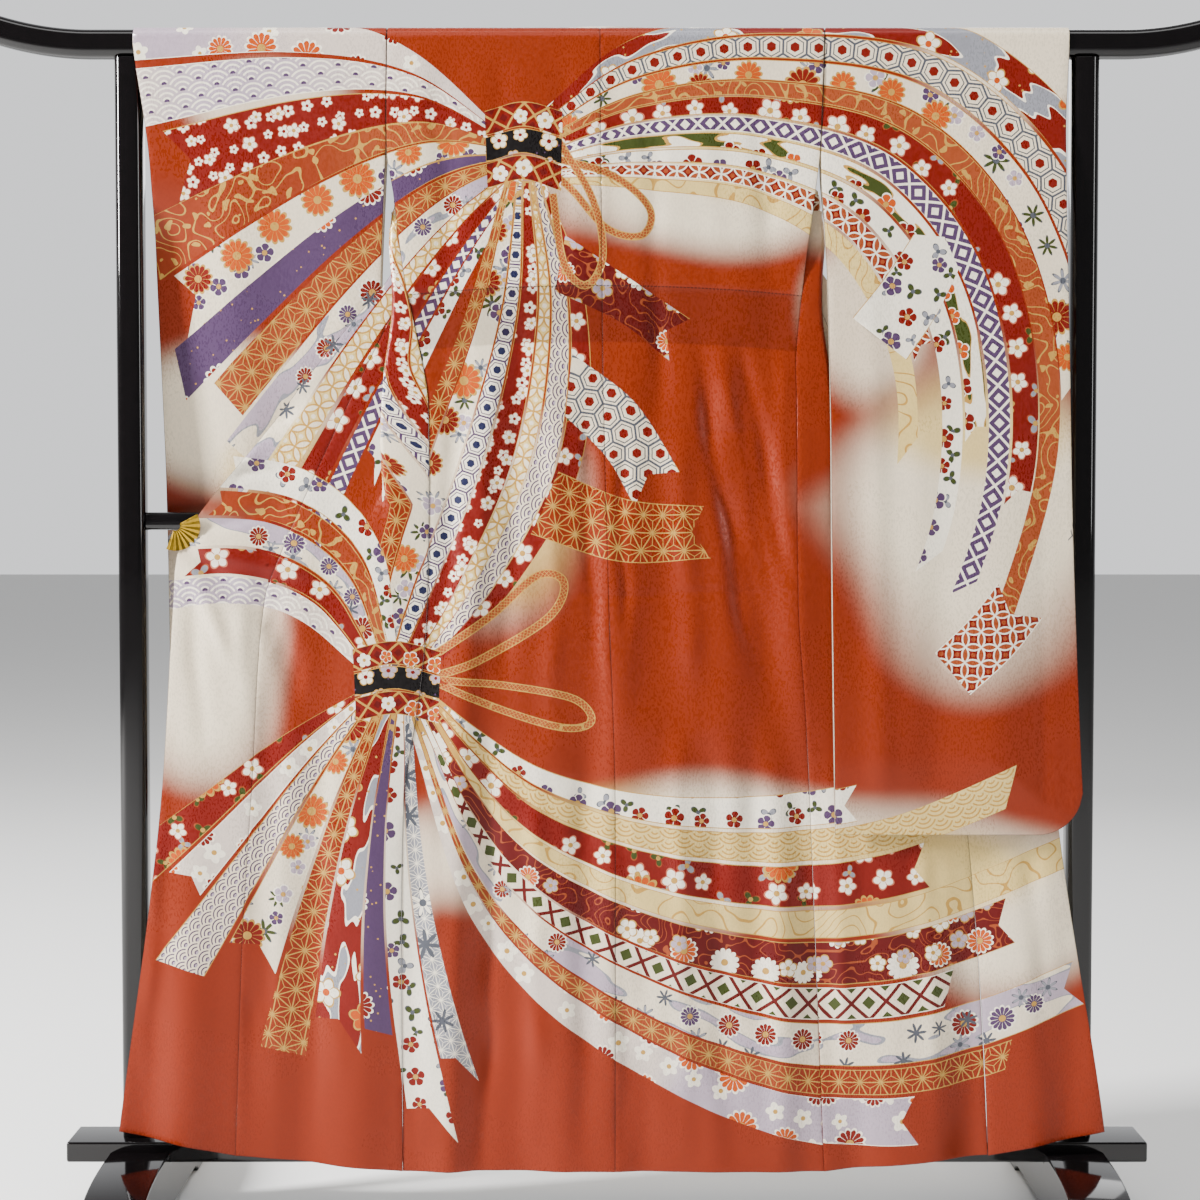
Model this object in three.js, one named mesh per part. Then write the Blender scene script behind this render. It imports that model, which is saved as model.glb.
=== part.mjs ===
// A furisode, a long-sleeved silk kimono, shown from the back over a lacquered kimono stand.
// The body lengths pass over the top rail. Both fronts are opened outwards like doors below the
// armholes and held at the middle rail by a fan-shaped clip, so that their outer faces show.
// Millimetres, +Z up, -Y is the side that is looked at. The origin is on the floor, mid-stand.
import * as THREE from 'three';

// Stand
const railSize = 40; // height and depth of the top rail
const railTop = 1723.5;
const railCorner = 12;
const railStraight = 745; // half of the rail's straight stretch
const railHalfLength = 935;
const railRise = 40; // how far each end curves up
const uprightX = 691;
const uprightSize = 40;
const middleRailTop = 1027.5;
const middleRailSize = 26;
const sillTop = 111; // the board that joins the feet
const sillThickness = 29.5;
const sillDepth = 92;
const sillHalfLength = 787;
const footX = 680;
const footWidth = 87;
const footHalfLength = 270;
const footHeight = 96;
const toeHeight = 18;
const footArchPower = 3.5;
const reliefHalfLength = 200; // the shallow hollow under each foot
const reliefHeight = 12;
const joint = 0.3; // gap between touching pieces

// Garment
const wall = 2; // the silk with its lining
const restGap = 0.6; // cloth to rail
const clothTop = railTop + restGap + wall;
const seamGap = 0.6;
const sleeveSeamGap = 1;
const collarLift = 2.9; // collar's outer face over the body's
const rightReach = 14; // the right front swings out a little further at its hem
const shoulderDrop = 14.5; // where the cloth leaves the rail's rounded edge
const centreSeamX = -10;
const hemDrop = { side: 1653, okumi: 1630, edge: 1594 };
const collarWidth = 58;
const neckHalfWidth = 90;
const okumiStart = 292; // a little below the okumi's pointed top
const sleeveDrop = 1162;
const sleeveCorner = 65; // radius of the sleeve's round corner
const mouthDrop = 235; // the sleeve's outer edge is open from the shoulder to here
const pleatLayer = 7; // outer face to outer face at the hidden pleat's first turn
const pleatTurn = 4; // the same at its second turn

const lacquerBlack = 0x0b0b0d;
const silkRed = 0xc04f30;
const silkIvory = 0xe3d9c6;
const brass = 0xb4933f;

// Side edges of the two back panels and the seam between them, by drop below the shoulder.
const backEdges = [
  { drop: 0, left: -316, centre: -10, right: 313 },
  { drop: 180, left: -317, centre: -9, right: 307 },
  { drop: 240, left: -308, centre: -8, right: 300 },
  { drop: 360, left: -292, centre: -7, right: 284 },
  { drop: 470, left: -269, centre: -6, right: 273 },
  { drop: 540, left: -258, centre: -5, right: 274 },
  { drop: 840, left: -260, centre: 3, right: 277 },
  { drop: 970, left: -272, centre: 8, right: 286 },
  { drop: 1120, left: -294, centre: 12, right: 294 },
  { drop: 1653, left: -296, centre: 12, right: 315 },
];

// Fronts: okumi seam, free edge (collar line to the clip, then the front edge), the hidden
// pleat's two turns, and how far the pleat is formed, from 0 to 1. Distances from the middle.
const frontRows = [
  { drop: 0, okumi: 97, edge: 97, turnOut: 290, turnIn: 115, pleat: 0, forward: 0 },
  { drop: 60, okumi: 131, edge: 131, turnOut: 295, turnIn: 140, pleat: 0.05, forward: 0 },
  { drop: 150, okumi: 187, edge: 187, turnOut: 302, turnIn: 180, pleat: 0.35, forward: 0.05 },
  { drop: 230, okumi: 236, edge: 236, turnOut: 311, turnIn: 200, pleat: 0.8, forward: 0.35 },
  { drop: 300, okumi: 267, edge: 280, turnOut: 314, turnIn: 210, pleat: 1, forward: 0.78 },
  { drop: 370, okumi: 297, edge: 323, turnOut: 310, turnIn: 215, pleat: 1, forward: 1 },
  { drop: 420, okumi: 315, edge: 366, turnOut: 311, turnIn: 222, pleat: 1, forward: 1 },
  { drop: 500, okumi: 354, edge: 430, turnOut: 322, turnIn: 238, pleat: 1, forward: 1 },
  { drop: 600, okumi: 402, edge: 508, turnOut: 333, turnIn: 275, pleat: 0.85, forward: 1 },
  { drop: 707, okumi: 450, edge: 594, turnOut: 341, turnIn: 310, pleat: 0.4, forward: 1 },
  { drop: 755, okumi: 470, edge: 620, turnOut: 345, turnIn: 325, pleat: 0.15, forward: 1 },
  { drop: 830, okumi: 496, edge: 627, turnOut: 350, turnIn: 340, pleat: 0, forward: 1 },
  { drop: 1110, okumi: 514, edge: 644, turnOut: 350, turnIn: 340, pleat: 0, forward: 1 },
  { drop: 1320, okumi: 527, edge: 665, turnOut: 350, turnIn: 340, pleat: 0, forward: 1 },
  { drop: 1653, okumi: 538, edge: 706, turnOut: 350, turnIn: 340, pleat: 0, forward: 1 },
];

// How far the hanging cloth stands towards the viewer, by drop.
const hang = [
  { drop: 0, y: -22.5 },
  { drop: 180, y: -23.5 },
  { drop: 370, y: -28 },
  { drop: 700, y: -36 },
  { drop: 1100, y: -48 },
  { drop: 1653, y: -64 },
];

// Sleeves: outer edge, seam or open inner edge, and the outer faces of the back and front layer.
const sleeveRows = {
  left: [
    { drop: 0, outer: 685, inner: 316, back: -22.5, front: 22.5 },
    { drop: 60, outer: 678, inner: 316, back: -22.5, front: 22.5 },
    { drop: 135, outer: 667, inner: 317, back: -22.5, front: 22.5 },
    { drop: 215, outer: 659, inner: 321, back: -19, front: 22.5 },
    { drop: 376, outer: 655, inner: 328, back: -4, front: 24 },
    { drop: 560, outer: 650, inner: 328, back: 10, front: 34 },
    { drop: 690, outer: 647, inner: 328, back: 16.5, front: 42 },
    { drop: 900, outer: 645, inner: 327, back: 20, front: 48 },
    { drop: 1162, outer: 643, inner: 326, back: 24, front: 46 },
  ],
  right: [
    { drop: 0, outer: 666, inner: 313, back: -22.5, front: 22.5 },
    { drop: 60, outer: 664, inner: 312, back: -22.5, front: 22.5 },
    { drop: 135, outer: 661, inner: 309, back: -24, front: 18 },
    { drop: 215, outer: 661, inner: 308, back: -31, front: -4 },
    { drop: 300, outer: 662, inner: 313, back: -39, front: -26 },
    { drop: 376, outer: 663, inner: 317, back: -44, front: -34 },
    { drop: 560, outer: 666, inner: 321, back: -55, front: -40 },
    { drop: 700, outer: 668, inner: 322, back: -64, front: -44 },
    { drop: 900, outer: 674, inner: 324, back: -73, front: -50 },
    { drop: 1162, outer: 684, inner: 328, back: -80, front: -58 },
  ],
};

// Soft vertical folds: place at the top and at the hem, half width, height towards the viewer
// (negative for a trough), and the drops between which the fold grows to its full height.
const folds = [
  { top: 2, hem: 26, width: 26, height: 5, from: 420, full: 900 },
  { top: 96, hem: 355, width: 30, height: -8, from: 430, full: 760 },
  { top: 150, hem: 175, width: 55, height: 6, from: 500, full: 1500 },
  { top: -190, hem: -225, width: 24, height: 6, from: 600, full: 1000 },
  { top: -120, hem: -140, width: 48, height: -7, from: 650, full: 1500 },
  { top: -60, hem: -62, width: 40, height: 6, from: 900, full: 1600 },
  { top: 215, hem: 262, width: 30, height: 7, from: 800, full: 1500 },
  { top: -330, hem: -352, width: 34, height: 7, from: 800, full: 1400 },
  { top: -400, hem: -455, width: 42, height: -8, from: 760, full: 1400 },
  { top: -560, hem: -600, width: 44, height: 8, from: 900, full: 1500 },
  { top: 380, hem: 430, width: 40, height: 8, from: 900, full: 1500 },
  { top: 480, hem: 520, width: 40, height: -7, from: 900, full: 1500 },
  { top: 560, hem: 620, width: 40, height: 8, from: 900, full: 1500 },
];

const ease = (low, high, value) => THREE.MathUtils.smoothstep(value, low, high);
const mix = THREE.MathUtils.lerp;

// Value of one column of a table at a drop, as a smooth curve through its rows.
function read(rows, column, drop) {
  let i = 0;
  while (i < rows.length - 2 && drop > rows[i + 1].drop) {
    i += 1;
  }
  const [a, b] = [rows[i], rows[i + 1]];
  const before = rows[Math.max(i - 1, 0)];
  const after = rows[Math.min(i + 2, rows.length - 1)];
  const span = b.drop - a.drop;
  const t = THREE.MathUtils.clamp((drop - a.drop) / span, 0, 1);
  const slopeA = ((b[column] - before[column]) / (b.drop - before.drop)) * span;
  const slopeB = ((after[column] - a[column]) / (after.drop - a.drop)) * span;
  const t2 = t * t;
  const t3 = t2 * t;
  return (
    (2 * t3 - 3 * t2 + 1) * a[column] +
    (t3 - 2 * t2 + t) * slopeA +
    (3 * t2 - 2 * t3) * b[column] +
    (t3 - t2) * slopeB
  );
}

// Height of the soft folds at a place.
function foldAt(x, drop) {
  return folds.reduce((sum, fold) => {
    const middle = mix(fold.top, fold.hem, drop / hemDrop.side);
    const offset = (x - middle) / fold.width;
    return sum + fold.height * Math.exp(-offset * offset) * ease(fold.from, fold.full, drop);
  }, 0);
}

const clothFace = (x, drop) => read(hang, 'y', drop) - foldAt(x, drop);

// The tuck across the back: cloth above it laps the cloth below by a small step.
const tuck = { drop: 372, rise: 16, reach: 300, step: 2.5 };
function tuckStep(x, drop) {
  const line = tuck.drop + tuck.rise * Math.min(1, Math.abs(x - centreSeamX) / tuck.reach) ** 2;
  return tuck.step * (1 - ease(line - 3, line + 3, drop));
}

// A point on the cloth where it passes over the rail, by its run over the rail from the near
// rounded edge, with an offset for what lies on it.
const railBend = railCorner + restGap + wall;
const flatRun = railSize - 2 * railCorner;
const bendRun = (Math.PI / 2) * railBend;
function overRail(run, lift = 0) {
  const halfFlat = flatRun / 2;
  const bend = railBend + lift;
  if (run < bendRun) {
    const angle = run / railBend;
    return [-halfFlat - bend * Math.cos(angle), clothTop - railBend + bend * Math.sin(angle)];
  }
  if (run < bendRun + flatRun) {
    return [run - bendRun - halfFlat, clothTop + lift];
  }
  if (run < 2 * bendRun + flatRun) {
    const angle = (run - bendRun - flatRun) / railBend;
    return [halfFlat + bend * Math.sin(angle), clothTop - railBend + bend * Math.cos(angle)];
  }
  return [halfFlat + bend, clothTop - railBend - (run - 2 * bendRun - flatRun)];
}
const overRailRun = 2 * bendRun + flatRun;

// A closed wall of cloth from a grid of outer points. grid[row][column] are Vector3; the wall
// goes inwards by its thickness. loop joins the last row to the first.
function clothWall(grid, { flip = false, loop = false, thickness = wall } = {}) {
  const rows = grid.length;
  const columns = grid[0].length;
  const clampRow = (r) => (loop ? (r + rows) % rows : THREE.MathUtils.clamp(r, 0, rows - 1));
  const clampColumn = (c) => THREE.MathUtils.clamp(c, 0, columns - 1);
  const inner = grid.map((line, r) =>
    line.map((point, c) => {
      const along = grid[clampRow(r + 1)][c].clone().sub(grid[clampRow(r - 1)][c]);
      const across = line[clampColumn(c + 1)].clone().sub(line[clampColumn(c - 1)]);
      const normal = across.cross(along).normalize();
      return point.clone().addScaledVector(normal, flip ? thickness : -thickness);
    }),
  );
  const points = [...grid.flat(), ...inner.flat()];
  const count = rows * columns;
  const index = [];
  const quad = (a, b, c, d) => {
    if (flip) {
      index.push(a, c, b, a, d, c);
    } else {
      index.push(a, b, c, a, c, d);
    }
  };
  const at = (r, c) => clampRow(r) * columns + c;
  const lastRow = loop ? rows : rows - 1;
  for (let r = 0; r < lastRow; r += 1) {
    for (let c = 0; c < columns - 1; c += 1) {
      quad(at(r, c), at(r, c + 1), at(r + 1, c + 1), at(r + 1, c));
      quad(count + at(r, c), count + at(r + 1, c), count + at(r + 1, c + 1), count + at(r, c + 1));
    }
    const end = columns - 1;
    quad(at(r, 0), at(r + 1, 0), count + at(r + 1, 0), count + at(r, 0));
    quad(at(r, end), count + at(r, end), count + at(r + 1, end), at(r + 1, end));
  }
  if (!loop) {
    const end = rows - 1;
    for (let c = 0; c < columns - 1; c += 1) {
      quad(at(0, c), count + at(0, c), count + at(0, c + 1), at(0, c + 1));
      quad(at(end, c), at(end, c + 1), count + at(end, c + 1), count + at(end, c));
    }
  }
  const geometry = new THREE.BufferGeometry();
  const flat = points.flatMap((p) => [p.x, p.y, p.z]);
  geometry.setAttribute('position', new THREE.Float32BufferAttribute(flat, 3));
  geometry.setIndex(index);
  geometry.computeVertexNormals();
  return geometry;
}

// Drops of the rows, closer where the cloth turns.
const backDrops = [40, 120, 200, 280, 340, 366, 374, 382, 390, 410, 470, 560, 680, 820, 960, 1100,
  1240, 1380, 1520, hemDrop.side];
const frontDrops = [45, 90, 140, 190, 230, 265, 300, 335, 370, 410, 460, 520, 580, 640, 700, 760,
  830, 920, 1030, 1150, 1280, 1410, 1540, hemDrop.side];
const bendRuns = [0, 0.25, 0.5, 0.75, 1].map((part) => part * bendRun);
const railRuns = [
  ...bendRuns, bendRun + flatRun / 2, ...bendRuns.map((run) => run + bendRun + flatRun),
];
const stations = 13; // columns of a body length, less one

// Inner edge of a body length where it passes over the rail: the rounded back of the neck.
function neckAt(side, run) {
  const t = ease(bendRun * 0.9, bendRun + flatRun * 1.3, run);
  return mix(centreSeamX, side * neckHalfWidth, t);
}

// Rows are level above and rise towards the front edge near the hem.
function hemRise(drop, hem) {
  return drop * mix(1, hem / hemDrop.side, ease(900, hemDrop.side, drop));
}
const swing = (side, drop) => (side > 0 ? rightReach * ease(900, hemDrop.side, drop) : 0);

// A row of a front: from the side seam, round the hidden pleat's two turns, to the okumi seam.
function frontRow(side, drop) {
  const name = side < 0 ? 'left' : 'right';
  const row = (column) => read(frontRows, column, drop);
  const backEdge = Math.abs(read(backEdges, name, drop));
  const seam = backEdge + seamGap * ease(300, 345, drop);
  const [okumi, turnOut, turnIn] = [row('okumi'), row('turnOut'), row('turnIn')];
  const [pleat, forward] = [row('pleat'), row('forward')];
  const second = pleatLayer + pleatTurn;
  const folded = [
    { x: seam, y: 0 },
    { x: mix(seam, turnOut, 0.5), y: 0 },
    { x: turnOut - 3.5, y: 0 },
    { x: turnOut, y: pleatLayer * 0.5 },
    { x: turnOut - 3.5, y: pleatLayer },
    { x: mix(turnOut, turnIn, 0.5), y: pleatLayer },
    { x: turnIn + 2.5, y: pleatLayer },
    { x: turnIn, y: pleatLayer + pleatTurn * 0.5 },
    { x: turnIn + 2.5, y: second },
    { x: mix(turnIn, okumi, 0.25), y: second },
    { x: mix(turnIn, okumi, 0.45), y: second },
    { x: mix(turnIn, okumi, 0.65), y: second },
    { x: mix(turnIn, okumi, 0.83), y: second },
    { x: okumi, y: second },
  ];
  return folded.map((point, i) => {
    const x = side * mix(mix(seam, okumi, i / stations), point.x, pleat);
    const behind = railSize / 2 + restGap + wall;
    const y = mix(behind, clothFace(x, drop) + point.y * pleat, forward);
    const height = clothTop - hemRise(drop, mix(hemDrop.side, hemDrop.okumi, i / stations));
    return new THREE.Vector3(x + side * swing(side, drop) * (i / stations), y, height);
  });
}

// A row of a back panel, from the side edge to the centre seam.
function backRow(side, drop) {
  const outer = read(backEdges, side < 0 ? 'left' : 'right', drop);
  const centre = read(backEdges, 'centre', drop) + side * seamGap * 0.5;
  return Array.from({ length: stations + 1 }, (_, i) => {
    const x = mix(outer, centre, i / stations);
    const y = clothFace(x, drop) - tuckStep(x, drop) + tuck.step * 0.5;
    return new THREE.Vector3(x, Math.min(y, -22.5), clothTop - drop);
  });
}

// One body length: up the back from the hem, over the rail, and down the front to its hem.
function bodyLength(side) {
  const back = [...backDrops].reverse().map((drop) => backRow(side, drop));
  const over = railRuns.map((run) => {
    const outer = Math.abs(read(backEdges, side < 0 ? 'left' : 'right', 0)) * side;
    const [y, z] = overRail(run);
    const inner = run < bendRun * 0.5 ? centreSeamX + side * seamGap * 0.5 : neckAt(side, run);
    return Array.from({ length: stations + 1 }, (_, i) =>
      new THREE.Vector3(mix(outer, inner, i / stations), y, z));
  });
  const front = frontDrops.map((drop) => frontRow(side, drop));
  return clothWall([...back, ...over, ...front], { flip: side > 0 });
}

// The overlap panel, from the front's seam to the free front edge.
const okumiDrops = [okumiStart, ...frontDrops.filter((drop) => drop > okumiStart + 20)];
const okumiColumns = 5;
function okumiPanel(side) {
  const grid = okumiDrops.map((drop) => {
    const row = (column) => read(frontRows, column, drop);
    const layer = (pleatLayer + pleatTurn) * row('pleat');
    return Array.from({ length: okumiColumns + 1 }, (_, i) => {
      const part = i / okumiColumns;
      const x = side * (mix(row('okumi') + seamGap, row('edge'), part) + swing(side, drop));
      const behind = railSize / 2 + restGap + wall;
      const y = mix(behind, clothFace(x, drop) + layer, row('forward'));
      const height = clothTop - hemRise(drop, mix(hemDrop.okumi, hemDrop.edge, part));
      return new THREE.Vector3(x, y, height);
    });
  });
  return clothWall(grid, { flip: side > 0 });
}

// The collar lies folded behind the free edge, from one clip round the neck to the other. Its
// line is a flat curve of distance from the neck's middle and drop, laid over the rail.
const collarEndDrop = 700;
const collarNeck = [
  { x: 0, run: bendRun + 5 },
  { x: 40, run: bendRun + 10 },
  { x: 72, run: bendRun + flatRun + 2 },
  { x: 87, run: overRailRun + 6 },
];
function collarSurface() {
  const half = [
    ...collarNeck.map(({ x, run }) => new THREE.Vector2(x, run)),
    ...[0.12, 0.3, 0.5, 0.7, 0.85, 1].map((part) => {
      const drop = mix(shoulderDrop, collarEndDrop, part);
      return new THREE.Vector2(read(frontRows, 'edge', drop) - 8, drop - shoulderDrop + overRailRun);
    }),
  ];
  const mirrored = half.slice(1).map((p) => new THREE.Vector2(-p.x, p.y)).reverse();
  const line = new THREE.SplineCurve([...mirrored, ...half]);
  const steps = 40;
  const columns = 7;
  const grid = [];
  for (let s = 0; s <= steps; s += 1) {
    const even = (2 * s) / steps - 1;
    const closer = 0.5 + 0.5 * Math.sign(even) * Math.abs(even) ** 1.7; // closer at the neck
    const place = line.getPointAt(closer);
    const heading = line.getTangentAt(closer);
    const across = new THREE.Vector2(-heading.y, heading.x);
    grid.push(Array.from({ length: columns + 1 }, (_, c) => {
      const point = place.clone().addScaledVector(across, (collarWidth * c) / columns);
      const [railY, railZ] = overRail(point.y, collarLift);
      const drop = shoulderDrop + point.y - overRailRun;
      const row = (column) => read(frontRows, column, Math.max(drop, 0));
      const layer = (pleatLayer + pleatTurn) * row('pleat') + wall + wall + 0.4;
      const hanging = clothFace(point.x, drop) + layer;
      const y = drop > shoulderDrop ? mix(railY, hanging, row('forward')) : railY;
      return new THREE.Vector3(point.x, y, railZ);
    }));
  }
  return clothWall(grid);
}

// A sleeve: a bag that hangs over the rail, closed along its lower edge, drawn together along
// its outer edge below the mouth, and open along its inner edge below the armhole.
const sleeveParts = [0.035, 0.08, 0.13, 0.2, 0.28, 0.38, 0.5, 0.62, 0.74, 0.85, 0.93, 0.975, 1];
const sleeveColumns = 8;
function sleeveBag(side) {
  const rows = side < 0 ? sleeveRows.left : sleeveRows.right;
  const layer = (name, part, u) => {
    const outerMost = read(rows, 'outer', part * sleeveDrop);
    const bodyEdge = Math.abs(read(backEdges, side < 0 ? 'left' : 'right', part * sleeveDrop));
    const seam = bodyEdge + sleeveSeamGap;
    const armhole = 1 - ease(190, 240, part * sleeveDrop);
    const innerMost = Math.max(read(rows, 'inner', part * sleeveDrop), seam * armhole);
    const x = mix(innerMost, outerMost, u);
    const past = Math.max(0, x - (read(rows, 'outer', sleeveDrop) - sleeveCorner));
    const corner = sleeveCorner - Math.sqrt(Math.max(0, sleeveCorner ** 2 - past ** 2));
    const drop = part * (sleeveDrop - Math.min(corner, sleeveCorner * 0.92));
    const [back, front] = [read(rows, 'back', drop), read(rows, 'front', drop)];
    const middle = (back + front) / 2;
    const sewn = ease(mouthDrop - 25, mouthDrop + 90, drop) * ease(0.62, 1, u);
    const closing = ease(0.9, 1, part);
    const spread = Math.max(sewn, closing);
    const face = name === 'back' ? back : front;
    const near = middle + Math.sign(face - middle) * (wall + 0.7);
    return new THREE.Vector3(side * x, mix(face, near, spread), clothTop - drop);
  };
  const line = (name, part) =>
    Array.from({ length: sleeveColumns + 1 }, (_, i) => layer(name, part, i / sleeveColumns));
  const over = railRuns.map((run) => {
    const [y, z] = overRail(run);
    return Array.from({ length: sleeveColumns + 1 }, (_, i) =>
      new THREE.Vector3(
        side * mix(rows[0].inner + sleeveSeamGap, rows[0].outer, i / sleeveColumns), y, z));
  });
  const grid = [
    ...[...sleeveParts].reverse().map((part) => line('back', part)),
    ...over,
    ...sleeveParts.map((part) => line('front', part)),
  ];
  return clothWall(grid, { flip: side < 0, loop: true });
}

// A square with rounded corners, centred on the origin.
function roundedSquare(width, height, radius) {
  const [w, h] = [width / 2 - radius, height / 2 - radius];
  const shape = new THREE.Shape();
  const corners = [[w, h], [-w, h], [-w, -h], [w, -h]];
  corners.forEach(([x, y], i) => {
    shape.absarc(x, y, radius, (i * Math.PI) / 2, ((i + 1) * Math.PI) / 2, false);
  });
  return shape;
}

// The top rail, straight across the middle and curving up towards both ends.
class RailCurve extends THREE.Curve {
  getPoint(t, target = new THREE.Vector3()) {
    const x = mix(-railHalfLength, railHalfLength, t);
    const past = Math.max(0, Math.abs(x) - railStraight) / (railHalfLength - railStraight);
    return target.set(x, 0, railTop - railSize / 2 + railRise * past * past);
  }
}

function railAlong(curve, section, steps) {
  return new THREE.ExtrudeGeometry(section, { steps, extrudePath: curve, curveSegments: 2 });
}

function topRail() {
  const curve = new RailCurve();
  curve.arcLengthDivisions = 400;
  return railAlong(curve, roundedSquare(railSize, railSize, railCorner), 24);
}

// A bar between two heights or two sides, its section rounded.
function upright() {
  const length = railTop - railSize - joint - (sillTop + joint);
  const geometry = new THREE.ExtrudeGeometry(
    roundedSquare(uprightSize, uprightSize, 12),
    { depth: length, bevelEnabled: false, curveSegments: 2 },
  );
  return geometry;
}

function middleRail() {
  const length = 2 * (uprightX - uprightSize / 2 - joint);
  const geometry = new THREE.ExtrudeGeometry(
    roundedSquare(middleRailSize, middleRailSize, 8),
    { depth: length, bevelEnabled: false, curveSegments: 2 },
  );
  geometry.rotateY(Math.PI / 2);
  geometry.translate(-length / 2, 0, 0);
  return geometry;
}

function sill() {
  const section = roundedSquare(sillDepth, sillThickness, 3);
  const geometry = new THREE.ExtrudeGeometry(
    section,
    { depth: 2 * sillHalfLength, bevelEnabled: false, curveSegments: 2 },
  );
  geometry.rotateX(Math.PI / 2);
  geometry.rotateZ(Math.PI / 2);
  geometry.translate(-sillHalfLength, 0, 0);
  return geometry;
}

// A foot: an arched block whose top falls to the toes as a superellipse, notched for the sill.
function footTop(y) {
  const part = Math.abs(y) / footHalfLength;
  const arch = (1 - part ** footArchPower) ** (1 / footArchPower);
  return toeHeight + (footHeight - toeHeight) * arch;
}

function foot() {
  const notchHalf = sillDepth / 2 + joint;
  const notchFloor = sillTop - sillThickness - joint;
  const shape = new THREE.Shape();
  const arch = [0, 0.04, 0.1, 0.18, 0.28, 0.4, 0.55, 0.75, 1].map((part) =>
    mix(footHalfLength, notchHalf, part));
  shape.moveTo(-footHalfLength, 0);
  arch.forEach((y) => shape.lineTo(-y, footTop(y)));
  shape.lineTo(-notchHalf, notchFloor);
  shape.lineTo(notchHalf, notchFloor);
  [...arch].reverse().forEach((y) => shape.lineTo(y, footTop(y)));
  shape.lineTo(footHalfLength, 0);
  shape.lineTo(reliefHalfLength, 0);
  shape.quadraticCurveTo(reliefHalfLength - 8, reliefHeight, reliefHalfLength - 30, reliefHeight);
  shape.lineTo(-reliefHalfLength + 30, reliefHeight);
  shape.quadraticCurveTo(-reliefHalfLength + 8, reliefHeight, -reliefHalfLength, 0);
  const geometry = new THREE.ExtrudeGeometry(
    shape,
    { depth: footWidth, bevelEnabled: false, curveSegments: 4 },
  );
  geometry.rotateX(Math.PI / 2);
  geometry.rotateZ(Math.PI / 2);
  geometry.translate(-footWidth / 2, 0, 0);
  return geometry;
}

// The clip: a pleated fan of sheet brass in front of the cloth's corner.
const fan = { radius: 36, hub: 7, from: -112, to: 28, pleats: 9, thickness: 1.4, ridge: 1.3,
  clear: 3 };
const clipPivot = { x: 623, z: 1008 };
function fanPlate(side) {
  const steps = fan.pleats * 2;
  const grid = [fan.hub, fan.hub + 6, fan.radius].map((radius, ring) =>
    Array.from({ length: steps + 1 }, (_, i) => {
      const angle = THREE.MathUtils.degToRad(mix(fan.from, fan.to, i / steps));
      const zigzag = (i % 2 ? -fan.ridge : 0) * (ring / 2);
      return new THREE.Vector3(
        -side * radius * Math.cos(angle), zigzag, radius * Math.sin(angle));
    }));
  return clothWall(grid, { flip: side < 0, thickness: fan.thickness });
}

const furisode = new THREE.Group();

function place(name, geometry, colour, roughness, metalness = 0) {
  const material = new THREE.MeshStandardMaterial({ color: colour, roughness, metalness });
  const mesh = new THREE.Mesh(geometry, material);
  mesh.name = name;
  furisode.add(mesh);
  return mesh;
}

// Garment
const sides = [{ name: 'left', sign: -1 }, { name: 'right', sign: 1 }];
sides.forEach(({ name, sign }) => {
  place(`body_${name}`, bodyLength(sign), silkRed, 0.5);
  place(`okumi_${name}`, okumiPanel(sign), silkRed, 0.5);
  place(`sleeve_${name}`, sleeveBag(sign), silkIvory, 0.5);
});
place('collar', collarSurface(), silkIvory, 0.5);

// Stand
place('top_rail', topRail(), lacquerBlack, 0.1);
place('middle_rail', middleRail(), lacquerBlack, 0.1)
  .position.set(0, 0, middleRailTop - middleRailSize / 2);
place('sill', sill(), lacquerBlack, 0.1).position.z = sillTop - sillThickness / 2;
sides.forEach(({ name, sign }) => {
  place(`upright_${name}`, upright(), lacquerBlack, 0.1)
    .position.set(sign * uprightX, 0, sillTop + joint);
  place(`foot_${name}`, foot(), lacquerBlack, 0.1).position.x = sign * footX;
});

// Clips, each on the corner of a front where the collar ends
const clipDrop = clothTop - clipPivot.z;
const clipLayer = (pleatLayer + pleatTurn) * read(frontRows, 'pleat', clipDrop);
const clipFace = clothFace(-600, clipDrop) + clipLayer - fan.thickness - fan.clear;
sides.forEach(({ name, sign }) => {
  place(`clip_fan_${name}`, fanPlate(sign), brass, 0.35, 1)
    .position.set(sign * clipPivot.x, clipFace, clipPivot.z);
});

export default furisode;
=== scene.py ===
import math

import bpy
import numpy as np
from mathutils.geometry import delaunay_2d_cdt
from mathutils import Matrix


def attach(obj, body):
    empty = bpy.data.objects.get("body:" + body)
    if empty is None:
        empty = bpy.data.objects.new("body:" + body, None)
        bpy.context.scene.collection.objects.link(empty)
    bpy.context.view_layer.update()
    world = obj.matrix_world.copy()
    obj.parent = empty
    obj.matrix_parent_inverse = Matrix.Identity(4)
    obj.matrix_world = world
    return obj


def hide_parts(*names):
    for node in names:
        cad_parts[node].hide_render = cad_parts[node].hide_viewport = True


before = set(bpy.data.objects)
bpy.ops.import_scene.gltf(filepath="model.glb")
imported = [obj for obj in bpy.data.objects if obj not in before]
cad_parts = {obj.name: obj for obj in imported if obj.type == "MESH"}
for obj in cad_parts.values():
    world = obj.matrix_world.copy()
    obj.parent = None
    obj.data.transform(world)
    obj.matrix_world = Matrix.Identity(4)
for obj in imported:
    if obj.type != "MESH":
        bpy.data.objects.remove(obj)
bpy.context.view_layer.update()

# Sizes are in millimetres until a mesh is made. X is the photo's right, -Y is the side looked at.
# "drop" is the distance below the shoulder line, "a" the distance from the middle to one side.

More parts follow.
